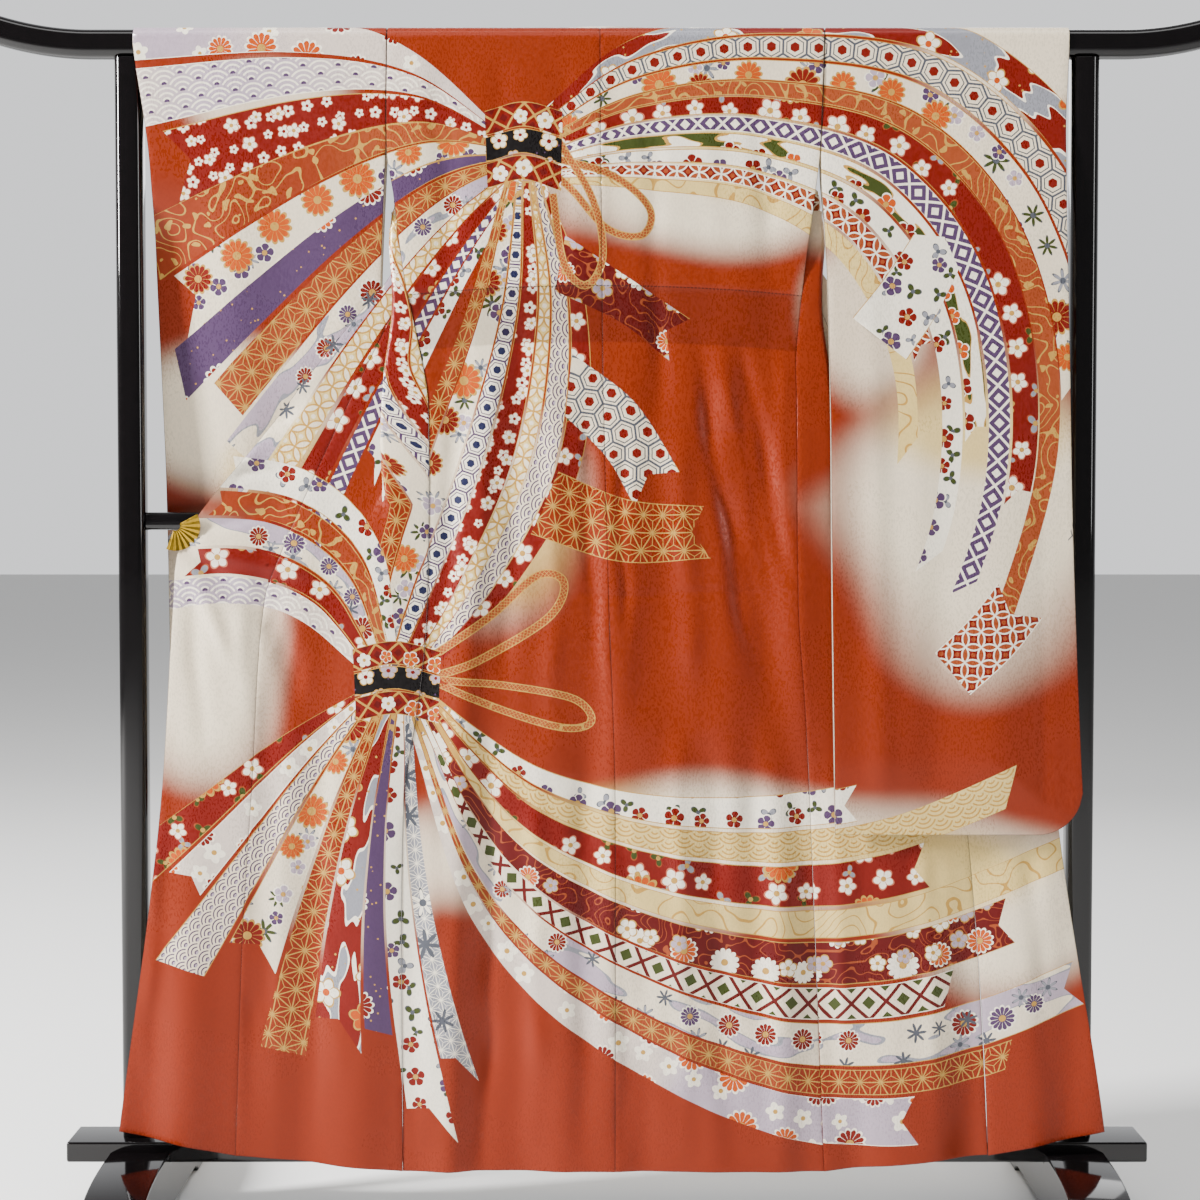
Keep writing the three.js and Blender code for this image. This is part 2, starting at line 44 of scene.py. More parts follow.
# Camera, lights and floor
viewPoint = {"place": (-0.010, -3.5, 1.046), "tilt": 87.6, "lens": 71.94}
camera = bpy.data.objects.new("camera", bpy.data.cameras.new("camera"))
bpy.context.collection.objects.link(camera)
camera.location = viewPoint["place"]
camera.rotation_euler = (math.radians(viewPoint["tilt"]), 0, 0)
camera.data.lens = viewPoint["lens"]
camera.data.sensor_width = 36
bpy.context.scene.camera = camera

studio = {
    "boxes": [  # name, place, width, height, watts
        ("leftBox", (-5.0, -1.7, 3.6), 0.7, 2.6, 1500),
        ("rightBox", (3.6, -2.4, 2.2), 0.7, 2.4, 62),
        ("topBox", (0, -1.2, 4.2), 3.0, 1.0, 50),
        ("backBox", (0.6, 3.6, 3.0), 3.0, 2.0, 70),
    ],
    "aim": (0, 0, 0.95),
    "air": (0.97, 0.98, 1.0, 1),
    "front": 0.2,
    "behind": 1.1,
}


# A rectangular lamp that faces the middle of the garment
def softBox(name, place, width, height, watts):
    light = bpy.data.lights.new(name, "AREA")
    light.shape = "RECTANGLE"
    light.size, light.size_y = width, height
    light.energy = watts
    box = bpy.data.objects.new(name, light)
    bpy.context.collection.objects.link(box)
    box.location = place
    toward = np.array(studio["aim"]) - np.array(place)
    box.rotation_euler = (
        math.atan2(math.hypot(toward[0], toward[1]), -toward[2]), 0, math.atan2(-toward[0], toward[1]))


for entry in studio["boxes"]:
    softBox(*entry)


# Shader helpers: a sketch is a node tree with short calls for its nodes
class Sketch:
    def __init__(self, tree):
        self.tree = tree

    def add(self, kind, links=(), **settings):
        node = self.tree.nodes.new(kind)
        for key, value in settings.items():
            setattr(node, key, value)
        for socket, value in dict(links).items():
            self.feed(node.inputs[socket], value)
        return node

    def feed(self, socket, value):
        if isinstance(value, bpy.types.NodeSocket):
            self.tree.links.new(value, socket)
        else:
            socket.default_value = value

    def sum(self, operation, a, b=0.0, c=0.0):
        return self.add("ShaderNodeMath", {0: a, 1: b, 2: c}, operation=operation).outputs[0]

    def plus(self, a, b):
        return self.sum("ADD", a, b)

    def minus(self, a, b):
        return self.sum("SUBTRACT", a, b)

    def times(self, a, b):
        return self.sum("MULTIPLY", a, b)

    def over(self, a, b):
        return self.sum("DIVIDE", a, b)

    def scaled(self, a, b, c):
        return self.sum("MULTIPLY_ADD", a, b, c)

    def below(self, a, b):
        return self.sum("LESS_THAN", a, b)

    def above(self, a, b):
        return self.sum("GREATER_THAN", a, b)

    def most(self, a, b):
        return self.sum("MAXIMUM", a, b)

    def least(self, a, b):
        return self.sum("MINIMUM", a, b)

    def vector(self, operation, a, b=(0, 0, 0)):
        node = self.add("ShaderNodeVectorMath", {0: a}, operation=operation)
        if operation == "SCALE":
            self.feed(node.inputs["Scale"], b)
        elif operation != "LENGTH":
            self.feed(node.inputs[1], b)
        return node.outputs["Value" if operation == "LENGTH" else "Vector"]

    def mixed(self, amount, a, b):
        node = self.add("ShaderNodeMix", data_type="RGBA")
        for index, value in ((0, amount), (6, a), (7, b)):
            self.feed(node.inputs[index], value)
        return node.outputs[2]

    def parts(self, vector):
        node = self.add("ShaderNodeSeparateXYZ", {0: vector})
        return node.outputs[0], node.outputs[1]

    def joined(self, x, y, z=0.0):
        return self.add("ShaderNodeCombineXYZ", {0: x, 1: y, 2: z}).outputs[0]

    def noise(self, vector, scale, detail=2.0, rough=0.5):
        return self.add("ShaderNodeTexNoise", {
            "Vector": vector, "Scale": scale, "Detail": detail, "Roughness": rough}).outputs[0]

    def ramp(self, value, low, high, to0=0.0, to1=1.0):
        return self.add("ShaderNodeMapRange", {
            0: value, 1: low, 2: high, 3: to0, 4: to1}, interpolation_type="SMOOTHSTEP").outputs[0]


# The room: dimmer before the stand than behind it, so that the folds keep their shade
world = bpy.data.worlds.new("studio")
world.use_nodes = True
room = Sketch(world.node_tree)
toward = room.parts(room.add("ShaderNodeTexCoord").outputs["Generated"])[1]
backdrop = world.node_tree.nodes["Background"]
backdrop.inputs["Color"].default_value = studio["air"]
room.feed(backdrop.inputs["Strength"], room.ramp(toward, -0.2, 0.6, studio["front"], studio["behind"]))
bpy.context.scene.world = world
print("studio lit")


# A colour written as on the web, turned into the linear light that shaders use
def tone(code, alpha=1.0):
    parts = [int(code[i:i + 2], 16) / 255 for i in (0, 2, 4)]
    return tuple(p / 12.92 if p <= 0.04045 else ((p + 0.055) / 1.055) ** 2.4 for p in parts) + (alpha,)


# A shader node group with named sockets, and what its nodes need
def newGroup(name, inputs, outputs):
    tree = bpy.data.node_groups.new(name, "ShaderNodeTree")
    for label, kind, value in inputs:
        socket = tree.interface.new_socket(label, in_out="INPUT", socket_type="NodeSocket" + kind)
        if value is not None:
            socket.default_value = value
    for label, kind in outputs:
        tree.interface.new_socket(label, in_out="OUTPUT", socket_type="NodeSocket" + kind)
    sketch = Sketch(tree)
    start, end = tree.nodes.new("NodeGroupInput"), tree.nodes.new("NodeGroupOutput")
    return tree, sketch, start.outputs, end.inputs


# Places a group in a material or another group, with its own values
def useGroup(sketch, tree, values):
    node = sketch.add("ShaderNodeGroup", node_tree=tree)
    for label, value in values.items():
        sketch.feed(node.inputs[label], value)
    return node.outputs


# A material with one Principled shader
def newMaterial(name, colour=None):
    material = bpy.data.materials.new(name)
    material.use_nodes = True
    sketch = Sketch(material.node_tree)
    gloss = material.node_tree.nodes["Principled BSDF"]
    if colour:
        gloss.inputs["Base Color"].default_value = colour
    return material, sketch, gloss


# Cloth tables, the same as the solids'
garment = {
    "wall": 2.0, "top": 1726.1, "bend": 14.6, "flat": 16.0, "seam": 0.03, "centre": -10,
    "neck": 90, "hemSide": 1653, "hemOkumi": 1630, "hemEdge": 1594, "reach": 14,
    "overlapTop": 262,
}
bendRun = math.pi / 2 * garment["bend"]
railRun = 2 * bendRun + garment["flat"]  # from the near rounded edge to the far one
turnLine = garment["bend"] - railRun / 2  # middle of the rail, in rows counted from the back
backEdges = {
    "drop": [0, 180, 240, 360, 470, 540, 840, 970, 1120, 1653],
    "left": [316, 317, 308, 292, 269, 258, 260, 272, 294, 296],
    "centre": [-10, -9, -8, -7, -6, -5, 3, 8, 12, 12],
    "right": [313, 307, 300, 284, 273, 274, 277, 286, 294, 315],
}
frontRows = {
    "drop": [0, 60, 150, 230, 300, 370, 420, 500, 600, 707, 755, 830, 1110, 1320, 1653],
    "okumi": [97, 131, 187, 236, 267, 297, 315, 354, 402, 450, 470, 496, 514, 527, 538],
    "edge": [97, 131, 187, 236, 280, 323, 366, 430, 508, 594, 620, 627, 644, 665, 706],
    "turnOut": [290, 295, 302, 311, 314, 310, 311, 322, 333, 341, 345, 350, 350, 350, 350],
    "turnIn": [115, 140, 180, 200, 210, 215, 222, 238, 275, 310, 325, 340, 340, 340, 340],
    "pleat": [0, 0.05, 0.35, 0.8, 1, 1, 1, 1, 0.85, 0.4, 0.15, 0, 0, 0, 0],
    "forward": [0, 0, 0.05, 0.35, 0.78, 1, 1, 1, 1, 1, 1, 1, 1, 1, 1],
}
hang = {"drop": [0, 180, 370, 700, 1100, 1653], "y": [-22.5, -23.5, -28, -36, -48, -64]}
sleeveRows = {
    -1: {
        "drop": [0, 60, 135, 215, 376, 560, 690, 900, 1162],
        "outer": [685, 678, 667, 659, 655, 650, 647, 645, 643],
        "inner": [316, 316, 317, 321, 328, 328, 328, 327, 326],
        "back": [-22.5, -22.5, -22.5, -19, -4, 10, 16.5, 20, 24],
        "front": [22.5, 22.5, 22.5, 22.5, 24, 34, 42, 48, 46],
    },
    1: {
        "drop": [0, 60, 135, 215, 300, 376, 560, 700, 900, 1162],
        "outer": [666, 664, 661, 661, 662, 663, 666, 668, 674, 684],
        "inner": [313, 312, 309, 308, 313, 317, 321, 322, 324, 328],
        "back": [-22.5, -22.5, -24, -31, -39, -44, -55, -64, -73, -80],
        "front": [22.5, 22.5, 18, -4, -26, -34, -40, -44, -50, -58],
    },
}
# place at the top and at the hem, half width, height, and the drops it grows between
folds = np.array([
    (2, 26, 26, 5, 420, 900), (96, 355, 30, -8, 430, 760), (150, 175, 55, 6, 500, 1500),
    (-190, -225, 24, 6, 600, 1000), (-120, -140, 48, -7, 650, 1500), (-60, -62, 40, 6, 900, 1600),
    (215, 262, 30, 7, 800, 1500), (-330, -352, 34, 7, 800, 1400), (-400, -455, 42, -8, 760, 1400),
    (-560, -600, 44, 8, 900, 1500), (380, 430, 40, 8, 900, 1500), (480, 520, 40, -7, 900, 1500),
    (560, 620, 40, 8, 900, 1500),
], float)
sleeveBag = {"drop": 1162, "corner": 65, "mouth": 235}


# Smooth step from 0 to 1 between two values: 3t^2 - 2t^3
def ease(low, high, value):
    t = np.clip((value - low) / (high - low), 0, 1)
    return t * t * (3 - 2 * t)


# Straight line from a to b as t goes from 0 to 1
def mix(a, b, t):
    return a + (b - a) * t


# A table's column at each drop: a cubic through its rows, each slope that of the line between
# the rows beside it
def readRows(table, column, drop):
    drops, values = np.array(table["drop"], float), np.array(table[column], float)
    i = np.clip(np.searchsorted(drops, drop) - 1, 0, len(drops) - 2)
    before, after = np.maximum(i - 1, 0), np.minimum(i + 2, len(drops) - 1)
    span = drops[i + 1] - drops[i]
    t = np.clip((drop - drops[i]) / span, 0, 1)
    slopeA = (values[i + 1] - values[before]) / (drops[i + 1] - drops[before]) * span
    slopeB = (values[after] - values[i]) / (drops[after] - drops[i]) * span
    return ((2 * t**3 - 3 * t**2 + 1) * values[i] + (t**3 - 2 * t**2 + t) * slopeA
            + (3 * t**2 - 2 * t**3) * values[i + 1] + (t**3 - t**2) * slopeB)


# soft creases: from (x, drop) to (x, drop), half width, depth (negative for a ridge)
creases = np.array([
    (128, 440, 205, 900, 13, 4.6), (195, 450, 262, 800, 11, 3.8), (160, 430, 232, 860, 12, -2.6),
    (72, 330, 78, 560, 13, 2.6), (22, 560, 24, 900, 8, 3), (-33, 540, -20, 900, 9, 2.6),
    (-4, 620, 2, 1000, 8, -1.8), (100, 560, 130, 1000, 18, -3), (-200, 420, -240, 900, 12, 3.2),
    (-120, 400, -150, 1000, 15, 3.4), (-160, 420, -200, 960, 13, -2.6), (-75, 450, -80, 1100, 16, -2.4),
    (60, 60, 70, 360, 14, 2.4), (-60, 60, -66, 360, 15, 2.2), (220, 60, 236, 360, 16, 2.6),
    (-240, 60, -226, 360, 16, 2.4), (150, 1010, 176, 1640, 20, 5.4), (-170, 1000, -186, 1640, 18, 4.8),
    (20, 1000, 26, 1640, 15, 4.2), (100, 1000, 116, 1640, 16, -3.9), (-100, 1000, -106, 1640, 17, -3.9),
    (-618, 720, -470, 700, 9, 2.8), (-616, 738, -430, 790, 13, -4), (-612, 756, -470, 860, 12, 3.8),
    (-606, 772, -540, 930, 12, -3.6), (-604, 690, -500, 610, 9, -3.2), (-590, 660, -430, 520, 12, 3.2),
    (-560, 640, -420, 640, 10, 2.6), (-600, 800, -585, 1040, 13, 3.2), (-300, 540, -330, 900, 20, -1.8),
    (620, 720, 470, 700, 9, 1.6), (616, 738, 430, 790, 13, -2.4), (606, 772, 540, 930, 12, 2.2),
    (-250, 584, 250, 580, 5, 1), (-255, 820, 262, 816, 5, 0.8), (-270, 1085, 280, 1080, 5, 0.7),
    (-150, 30, -168, 340, 16, 1.2), (140, 25, 156, 340, 18, -1.2), (-12, 20, -10, 360, 12, -0.8),
    (60, 420, 90, 900, 22, 1.5), (-90, 430, -70, 760, 18, -1.4), (190, 430, 205, 830, 16, 1.6),
    (250, 440, 262, 780, 9, -1.4), (-230, 450, -232, 800, 9, 1.4), (60, 900, 75, 1640, 26, -3.3),
    (210, 1000, 236, 1640, 18, 3), (-250, 1000, -262, 1640, 16, -3), (-30, 1000, -34, 1640, 16, 2.7),
    (-480, 900, -512, 1600, 14, 3), (-500, 790, -440, 1000, 15, 4.2), (-530, 800, -520, 1000, 14, -2.4),
    (590, 900, 640, 1560, 16, 3), (440, 900, 470, 1600, 15, -3),
    (-390, 1000, -402, 1600, 13, -2.7), (330, 1000, 352, 1640, 11, -3), (-640, 1100, -672, 1560, 10, -2.4),
])


# Sum of the creases: each a bell across its line, uneven along it and tapered to both ends
def creaseAt(x, drop):
    depth = 0 * x
    for x1, d1, x2, d2, width, height in creases:
        length = math.hypot(x2 - x1, d2 - d1)
        s = ((x - x1) * (x2 - x1) + (drop - d1) * (d2 - d1)) / length
        t = ((drop - d1) * (x2 - x1) - (x - x1) * (d2 - d1)) / length + 3 * np.sin(s / 37 + d1)
        taper = ease(-0.05 * length, 0.25 * length, s) * ease(1.1 * length, 0.7 * length, s)
        depth = depth + height * np.exp(-(t / width) ** 2) * taper * (0.8 + 0.2 * np.sin(s / 23 + x1))
    return depth


# Slow unevenness of hanging silk: a few long waves, stronger towards the hem
def rippleAt(x, drop):
    waves = (np.sin(x / 19 + drop / 310) + 0.8 * np.sin(x / 31 - drop / 205 + 1.3) + 0.7 * np.sin(
        x / 12.5 + drop / 420 + 0.6) + 0.5 * np.sin(x / 47 + drop / 90 + 2.1))
    return waves * (0.25 + 0.75 * ease(100, 1500, drop)) * 1.5


# Where the hanging cloth stands: the hang table less a sum of bell-shaped folds
def clothFace(x, drop):
    covered = ease(300, 330, x) * (1 - ease(1150, 1200, drop))  # behind the right sleeve
    soft = creaseAt(x, drop) * (1.6 - 0.8 * covered) + rippleAt(x, drop)
    y = readRows(hang, "y", drop) + soft * ease(15, 60, drop)
    for top, hem, width, height, grows, full in folds:
        middle = mix(top, hem, drop / garment["hemSide"])
        y = y - height * np.exp(-((x - middle) / width) ** 2) * ease(grows, full, drop)
    return y


# Drop of the tuck: a line that sinks to both sides with the square of the distance
def tuckDrop(x):
    return 372 + 16 * np.minimum(1, np.abs(x - garment["centre"]) / 300) ** 2


# The tuck: a step of 2.5 mm in the cloth, eased over 6 mm of drop
def tuckStep(x, drop):
    return 2.5 * (1 - ease(tuckDrop(x) - 3, tuckDrop(x) + 3, drop)) - 1.25


# Over the rail: a quarter circle, a flat run, a quarter circle, then straight down
def overRail(run, lift=0.0):
    bend, half = garment["bend"] + lift, garment["flat"] / 2
    near = run / garment["bend"]
    far = (run - bendRun - garment["flat"]) / garment["bend"]
    where = [run < bendRun, run < bendRun + garment["flat"], run < railRun]
    middle = garment["top"] - garment["bend"]
    flat = run - bendRun - half
    y = np.select(where, [-half - bend * np.cos(near), flat, half + bend * np.sin(far)], half + bend)
    z = np.select(where, [middle + bend * np.sin(near), garment["top"] + lift + 0 * run,
                          middle + bend * np.cos(far)], middle - (run - railRun))
    return y, z


# The neck hole's edge: from the middle seam behind to the neck's half width in front
def neckAt(side, run):
    return mix(garment["centre"], side * garment["neck"],
               ease(bendRun * 0.9, bendRun + garment["flat"] * 1.3, run))


# A front's hem rises to its free edge: drops shrink in step below the waist
def hemRise(drop, hem):
    return drop * mix(1, hem / garment["hemSide"], ease(900, garment["hemSide"], drop))


# The opened right front reaches outwards towards its hem
def swing(side, drop):
    return ease(900, garment["hemSide"], drop) * (garment["reach"] if side > 0 else 0)


# A front's row: from the side seam round the hidden pleat's two turns to the okumi seam, as 14
# stations. Gives their places and their distances along the cloth.
def frontStations(side, drop):
    column = {name: readRows(frontRows, name, drop) for name in
              ("okumi", "turnOut", "turnIn", "pleat", "forward")}
    okumi, out, inn, pleat = column["okumi"], column["turnOut"], column["turnIn"], column["pleat"]
    seam = readRows(backEdges, "left" if side < 0 else "right", drop) + 0.05 * ease(300, 345, drop)
    folded = [
        (seam, 0), (mix(seam, out, 0.5), 0), (out - 3.5, 0), (out, 3.5), (out - 3.5, 7),
        (mix(out, inn, 0.5), 7), (inn + 2.5, 7), (inn, 9), (inn + 2.5, 11), (mix(inn, okumi, 0.25), 11),
        (mix(inn, okumi, 0.45), 11), (mix(inn, okumi, 0.65), 11), (mix(inn, okumi, 0.83), 11), (okumi, 11)]
    share = np.arange(14) / 13
    x = np.stack([mix(mix(seam, okumi, f), place, pleat) for f, (place, _) in zip(share, folded)], 1)
    depth = np.stack([layer * pleat for _, layer in folded], 1)
    row = drop[:, None]
    y = mix(22.6, clothFace(side * x, row) + depth, column["forward"][:, None])
    z = garment["top"] - hemRise(row, mix(garment["hemSide"], garment["hemOkumi"], share[None]))
    x = x + swing(side, row) * share[None]
    steps = np.hypot(np.diff(x, axis=1), np.diff(y, axis=1))
    along = np.concatenate([np.zeros((len(drop), 1)), np.cumsum(steps, 1)], 1)
    return np.stack([side * x, y, z + 0 * x], 2), along


# A smooth curve through four neighbouring points at t between the middle two
def throughFour(p, t):
    t = t[:, None]
    return 0.5 * (2 * p[1] + (p[2] - p[0]) * t + (2 * p[0] - 5 * p[1] + 4 * p[2] - p[3]) * t**2
                  + (3 * p[1] - p[0] - 3 * p[2] + p[3]) * t**3)


frontWidths = {}
for side in (-1, 1):
    dropSteps = np.arange(0, 1660, 4.0)
    frontWidths[side] = dropSteps, frontStations(side, dropSteps)[1][:, -1]


# Width of a front's row, measured along its folds
def frontWidth(side, drop):
    return np.interp(drop, *frontWidths[side])


# One body length from its rows "w" (the drop on the back, negative past the rail) and "a"
def bodySurface(side, a, w):
    name = "left" if side < 0 else "right"
    x = side * a
    y = np.minimum(clothFace(x, w) - tuckStep(x, w), -22.6)
    place = np.stack([x, y, garment["top"] - w], 1)
    railY, railZ = overRail(garment["bend"] - w)
    place = np.where((w < garment["bend"])[:, None], np.stack([x, railY, railZ], 1), place)
    front = w < garment["bend"] - railRun
    drop = mirrored(w[front])
    points, along = frontStations(side, drop)
    s = np.clip(readRows(backEdges, name, drop) - a[front], 0, along[:, -1])
    i = np.clip((along <= s[:, None]).sum(1) - 1, 0, 12)
    rows = np.arange(len(drop))
    t = (s - along[rows, i]) / (along[rows, i + 1] - along[rows, i])
    four = [points[rows, np.clip(i + k, 0, 13)] for k in (-1, 0, 1, 2)]
    place[front] = throughFour(four, t)
    return place


# The overlap panel: straight across each row from its seam to the free front edge
def okumiSurface(side, a, w):
    okumi, edge = readRows(frontRows, "okumi", w) + 0.05, readRows(frontRows, "edge", w)
    share = np.clip((a - okumi) / np.maximum(edge - okumi, 1), 0, 1)
    layer = 11 * readRows(frontRows, "pleat", w)
    x = side * (a + swing(side, w))
    y = mix(22.6, clothFace(x, w) + layer, readRows(frontRows, "forward", w))
    z = garment["top"] - hemRise(w, mix(garment["hemOkumi"], garment["hemEdge"], share))
    return np.stack([x, y, z], 1)


# The sleeve's rows end on a round corner: a quarter circle taken off the drop
def cornerRise(side, a):
    outer = sleeveRows[side]["outer"][-1]
    past = np.clip(a - (outer - sleeveBag["corner"]), 0, sleeveBag["corner"])
    rise = sleeveBag["corner"] - np.sqrt(sleeveBag["corner"] ** 2 - past**2)
    return np.minimum(rise, sleeveBag["corner"] * 0.92)  # stops short of the circle's upright end


# A sleeve's inner edge: on the armhole seam above, free of the body below it
def sleeveInner(side, row):
    body = readRows(backEdges, "left" if side < 0 else "right", row) + 1
    return np.maximum(readRows(sleeveRows[side], "inner", row), body * (1 - ease(190, 240, row)))


# Soft folds of a sleeve: long waves, a hanging fold near each side and faint storage creases
def sleeveSoftness(side, a, drop, back):
    lean = np.where(back, 0.0, 1.7)
    waves = np.sin(a / 23 + drop / 260 + side + lean) + 0.7 * np.sin(a / 37 - drop / 170 + 2 * side + lean)
    folds = 2.4 * np.exp(-((a - 620 - 0.01 * drop) / 9) ** 2) * ease(330, 520, drop)
    folds = folds - 2.6 * np.exp(-((a - 372 - 0.02 * drop) / 20) ** 2) * ease(200, 700, drop)
    folds = folds + 2.2 * np.exp(-((a - 500 + 0.03 * drop) / 30) ** 2) * ease(100, 900, drop)
    lines = sum(0.7 * np.exp(-((drop - at - 4 * np.sin(a / 60)) / 5) ** 2) for at in (390, 775))
    return np.where(back, 1.0, -1.0) * (waves * (0.5 + 0.8 * ease(100, 1100, drop)) + 1.4 * folds + lines)


# A sleeve: two layers from one table, drawn together along the sewn outer edge and the bottom
def sleeveSurface(side, a, w):
    rows = sleeveRows[side]
    drop = np.where(w > turnLine, w, mirrored(w))
    part = drop / (sleeveBag["drop"] - cornerRise(side, a))
    row = np.clip(part, 0, 1) * sleeveBag["drop"]
    inner, outer = sleeveInner(side, row), readRows(rows, "outer", row)
    u = np.clip((a - inner) / (outer - inner), 0, 1)
    back, front = readRows(rows, "back", drop), readRows(rows, "front", drop)
    face = np.where(w > turnLine, back, front)
    middle = (back + front) / 2
    sewn = ease(sleeveBag["mouth"] - 25, sleeveBag["mouth"] + 90, drop) * ease(0.62, 1, u)
    spread = np.maximum(sewn, ease(0.9, 1, part))
    soft = sleeveSoftness(side, a, drop, w > turnLine) * ease(15, 80, drop) * (1 - ease(0.93, 1, part))
    face = face + soft * (1 - 0.8 * ease(0.8, 1, u))
    y = mix(face, middle + np.sign(face - middle) * (garment["wall"] + 0.1), spread)
    place = np.stack([side * a, y, garment["top"] - drop], 1)
    railY, railZ = overRail(garment["bend"] - w)
    onRail = (w < garment["bend"]) & (w > garment["bend"] - railRun)
    return np.where(onRail[:, None], np.stack([side * a, railY, railZ], 1), place)


# A row's drop counted on from the middle of the rail, down the other side
def mirrored(drop):
    return 2 * turnLine - drop


# Even steps between two values, as near to the given step as fits
def rowsBetween(low, high, step=6.0):
    return np.linspace(low, high, max(2, int(abs(high - low) / step) + 1))


# A body length's outline as a closed line of (a, w): up the back seam, round the neck, down the
# front seam, across its hem, up the side, over the shoulder and down to the back hem
def bodyOutline(side):
    name = "left" if side < 0 else "right"
    hem, bend = garment["hemSide"], garment["bend"]
    up, down = rowsBetween(hem, bend), rowsBetween(bend, hem)
    runs = rowsBetween(0, railRun, 3)
    middle = garment["centre"] + side * garment["seam"]
    neck = side * np.where(runs < bendRun * 0.5, middle, neckAt(side, runs))
    outer = readRows(backEdges, name, down)
    lines = [
        (side * readRows(backEdges, "centre", up) + garment["seam"], up),
        (neck, bend - runs),
        (outer - frontWidth(side, down), mirrored(down)),
        (rowsBetween(outer[-1] - frontWidth(side, down[-1:])[0], outer[-1]), None),
        (outer[::-1], mirrored(up)),
        (outer[:1] + 0 * runs, bend - runs[::-1]),
        (outer, down),
        (rowsBetween(outer[-1], side * readRows(backEdges, "centre", up[:1])[0] + garment["seam"]), None),
    ]
    ends = {3: mirrored(hem), 7: hem}
    return joinLines([(a, np.full(len(a), ends[i]) if w is None else w) for i, (a, w) in enumerate(lines)])


# An overlap's outline: down its seam, along the hem, up the free edge
def okumiOutline(side):
    down = rowsBetween(garment["overlapTop"], garment["hemSide"])
    okumi, edge = readRows(frontRows, "okumi", down) + 0.05, readRows(frontRows, "edge", down)
    hem = rowsBetween(okumi[-1], edge[-1])
    top = rowsBetween(edge[0], okumi[0], 3)
    return joinLines([(okumi, down), (hem, np.full(len(hem), down[-1])), (edge[::-1], down[::-1]),
                      (top, np.full(len(top), down[0]))])


# A sleeve's outline: its two layers in one, joined over the rail
def sleeveOutline(side):
    parts = rowsBetween(0.02, 1, 0.005)
    rows = parts * sleeveBag["drop"]
    inner, outer = sleeveInner(side, rows), readRows(sleeveRows[side], "outer", rows)
    outerDrop = parts * (sleeveBag["drop"] - cornerRise(side, outer))
    bottom = rowsBetween(outer[-1], inner[-1], 4)
    bottomDrop = sleeveBag["drop"] - cornerRise(side, bottom)
    keep = outerDrop > garment["bend"] + 2
    return joinLines([
        (inner[::-1], rows[::-1]), (inner, mirrored(rows)), (bottom[::-1], mirrored(bottomDrop[::-1])),
        (outer[keep][::-1], mirrored(outerDrop[keep][::-1])), (outer[keep], outerDrop[keep]),
        (bottom, bottomDrop)])


# One closed line from several, without doubled points
def joinLines(lines):
    points = np.concatenate([np.stack([a, w], 1) for a, w in lines])
    step = np.linalg.norm(points - np.roll(points, 1, 0), axis=1)
    return points[step > 0.5]


# Even-odd test: a point is inside when a ray from it crosses the outline an odd number of times
def insideOf(points, outline):
    inside = np.zeros(len(points), bool)
    low, high = outline.min(0), outline.max(0)
    near = np.flatnonzero(((points >= low) & (points <= high)).all(1))
    p, q, r = points[near], outline, np.roll(outline, -1, 0)
    for start in range(0, len(q), 400):
        a, b = q[start:start + 400], r[start:start + 400]
        spans = (a[None, :, 1] > p[:, None, 1]) != (b[None, :, 1] > p[:, None, 1])
        rise = np.where(b[:, 1] == a[:, 1], 1, b[:, 1] - a[:, 1])
        cross = a[:, 0] + (p[:, 1:] - a[:, 1]) / rise * (b[:, 0] - a[:, 0])
        inside[near] ^= ((spans & (p[:, :1] < cross)).sum(1) % 2).astype(bool)
    return inside


# Drops the points whose cell of the given size, or a cell beside it, holds one of the others
def awayFrom(points, others, size):
    cells = np.floor(others / size).astype(int)
    marked = np.concatenate([cells + shift for shift in [(0, 0), (1, 0), (-1, 0), (0, 1), (0, -1)]])
    stride = np.array([100003, 1])  # one number for each cell
    return points[~np.isin(np.floor(points / size).astype(int) @ stride, marked @ stride)]


# Meshes
def meshPiece(name, points, triangles, materials, slots=None, smooth=30):
    mesh = bpy.data.meshes.new(name)
    mesh.vertices.add(len(points))
    mesh.vertices.foreach_set("co", (np.asarray(points, np.float32) / 1000).ravel())
    mesh.loops.add(3 * len(triangles))
    mesh.loops.foreach_set("vertex_index", np.asarray(triangles, np.int32).ravel())
    mesh.polygons.add(len(triangles))
    mesh.polygons.foreach_set("loop_start", np.arange(len(triangles), dtype=np.int32) * 3)
    for material in materials:
        mesh.materials.append(material)
    if slots is not None:
        mesh.polygons.foreach_set("material_index", np.asarray(slots, np.int32))
    mesh.polygons.foreach_set("use_smooth", np.ones(len(triangles), bool))
    mesh.update(calc_edges=True)
    mesh.set_sharp_from_angle(angle=math.radians(smooth))
    piece = bpy.data.objects.new(name, mesh)
    bpy.context.collection.objects.link(piece)
    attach(piece, "root")
    return piece


# Triangles of a grid of rows and columns; a loop joins its last row or column to the first
def gridTriangles(rows, columns, loopRows=False, loopColumns=False):
    r, c = np.meshgrid(np.arange(rows if loopRows else rows - 1),
                       np.arange(columns if loopColumns else columns - 1), indexing="ij")
    r, c = r.ravel(), c.ravel()
    r2, c2 = (r + 1) % rows, (c + 1) % columns
    a, b, d, e = r * columns + c, r * columns + c2, r2 * columns + c2, r2 * columns + c
    return np.concatenate([np.stack([a, b, d], 1), np.stack([a, d, e], 1)])


# Normals of the points: the sum of the cross products of the triangles round each
def pointNormals(points, triangles):
    p, q, r = (points[triangles[:, k]] for k in range(3))
    cross = np.cross(q - p, r - p)
    normals = np.zeros_like(points)
    for k in range(3):
        np.add.at(normals, triangles[:, k], cross)
    return normals / np.maximum(np.linalg.norm(normals, axis=1), 1e-9)[:, None]


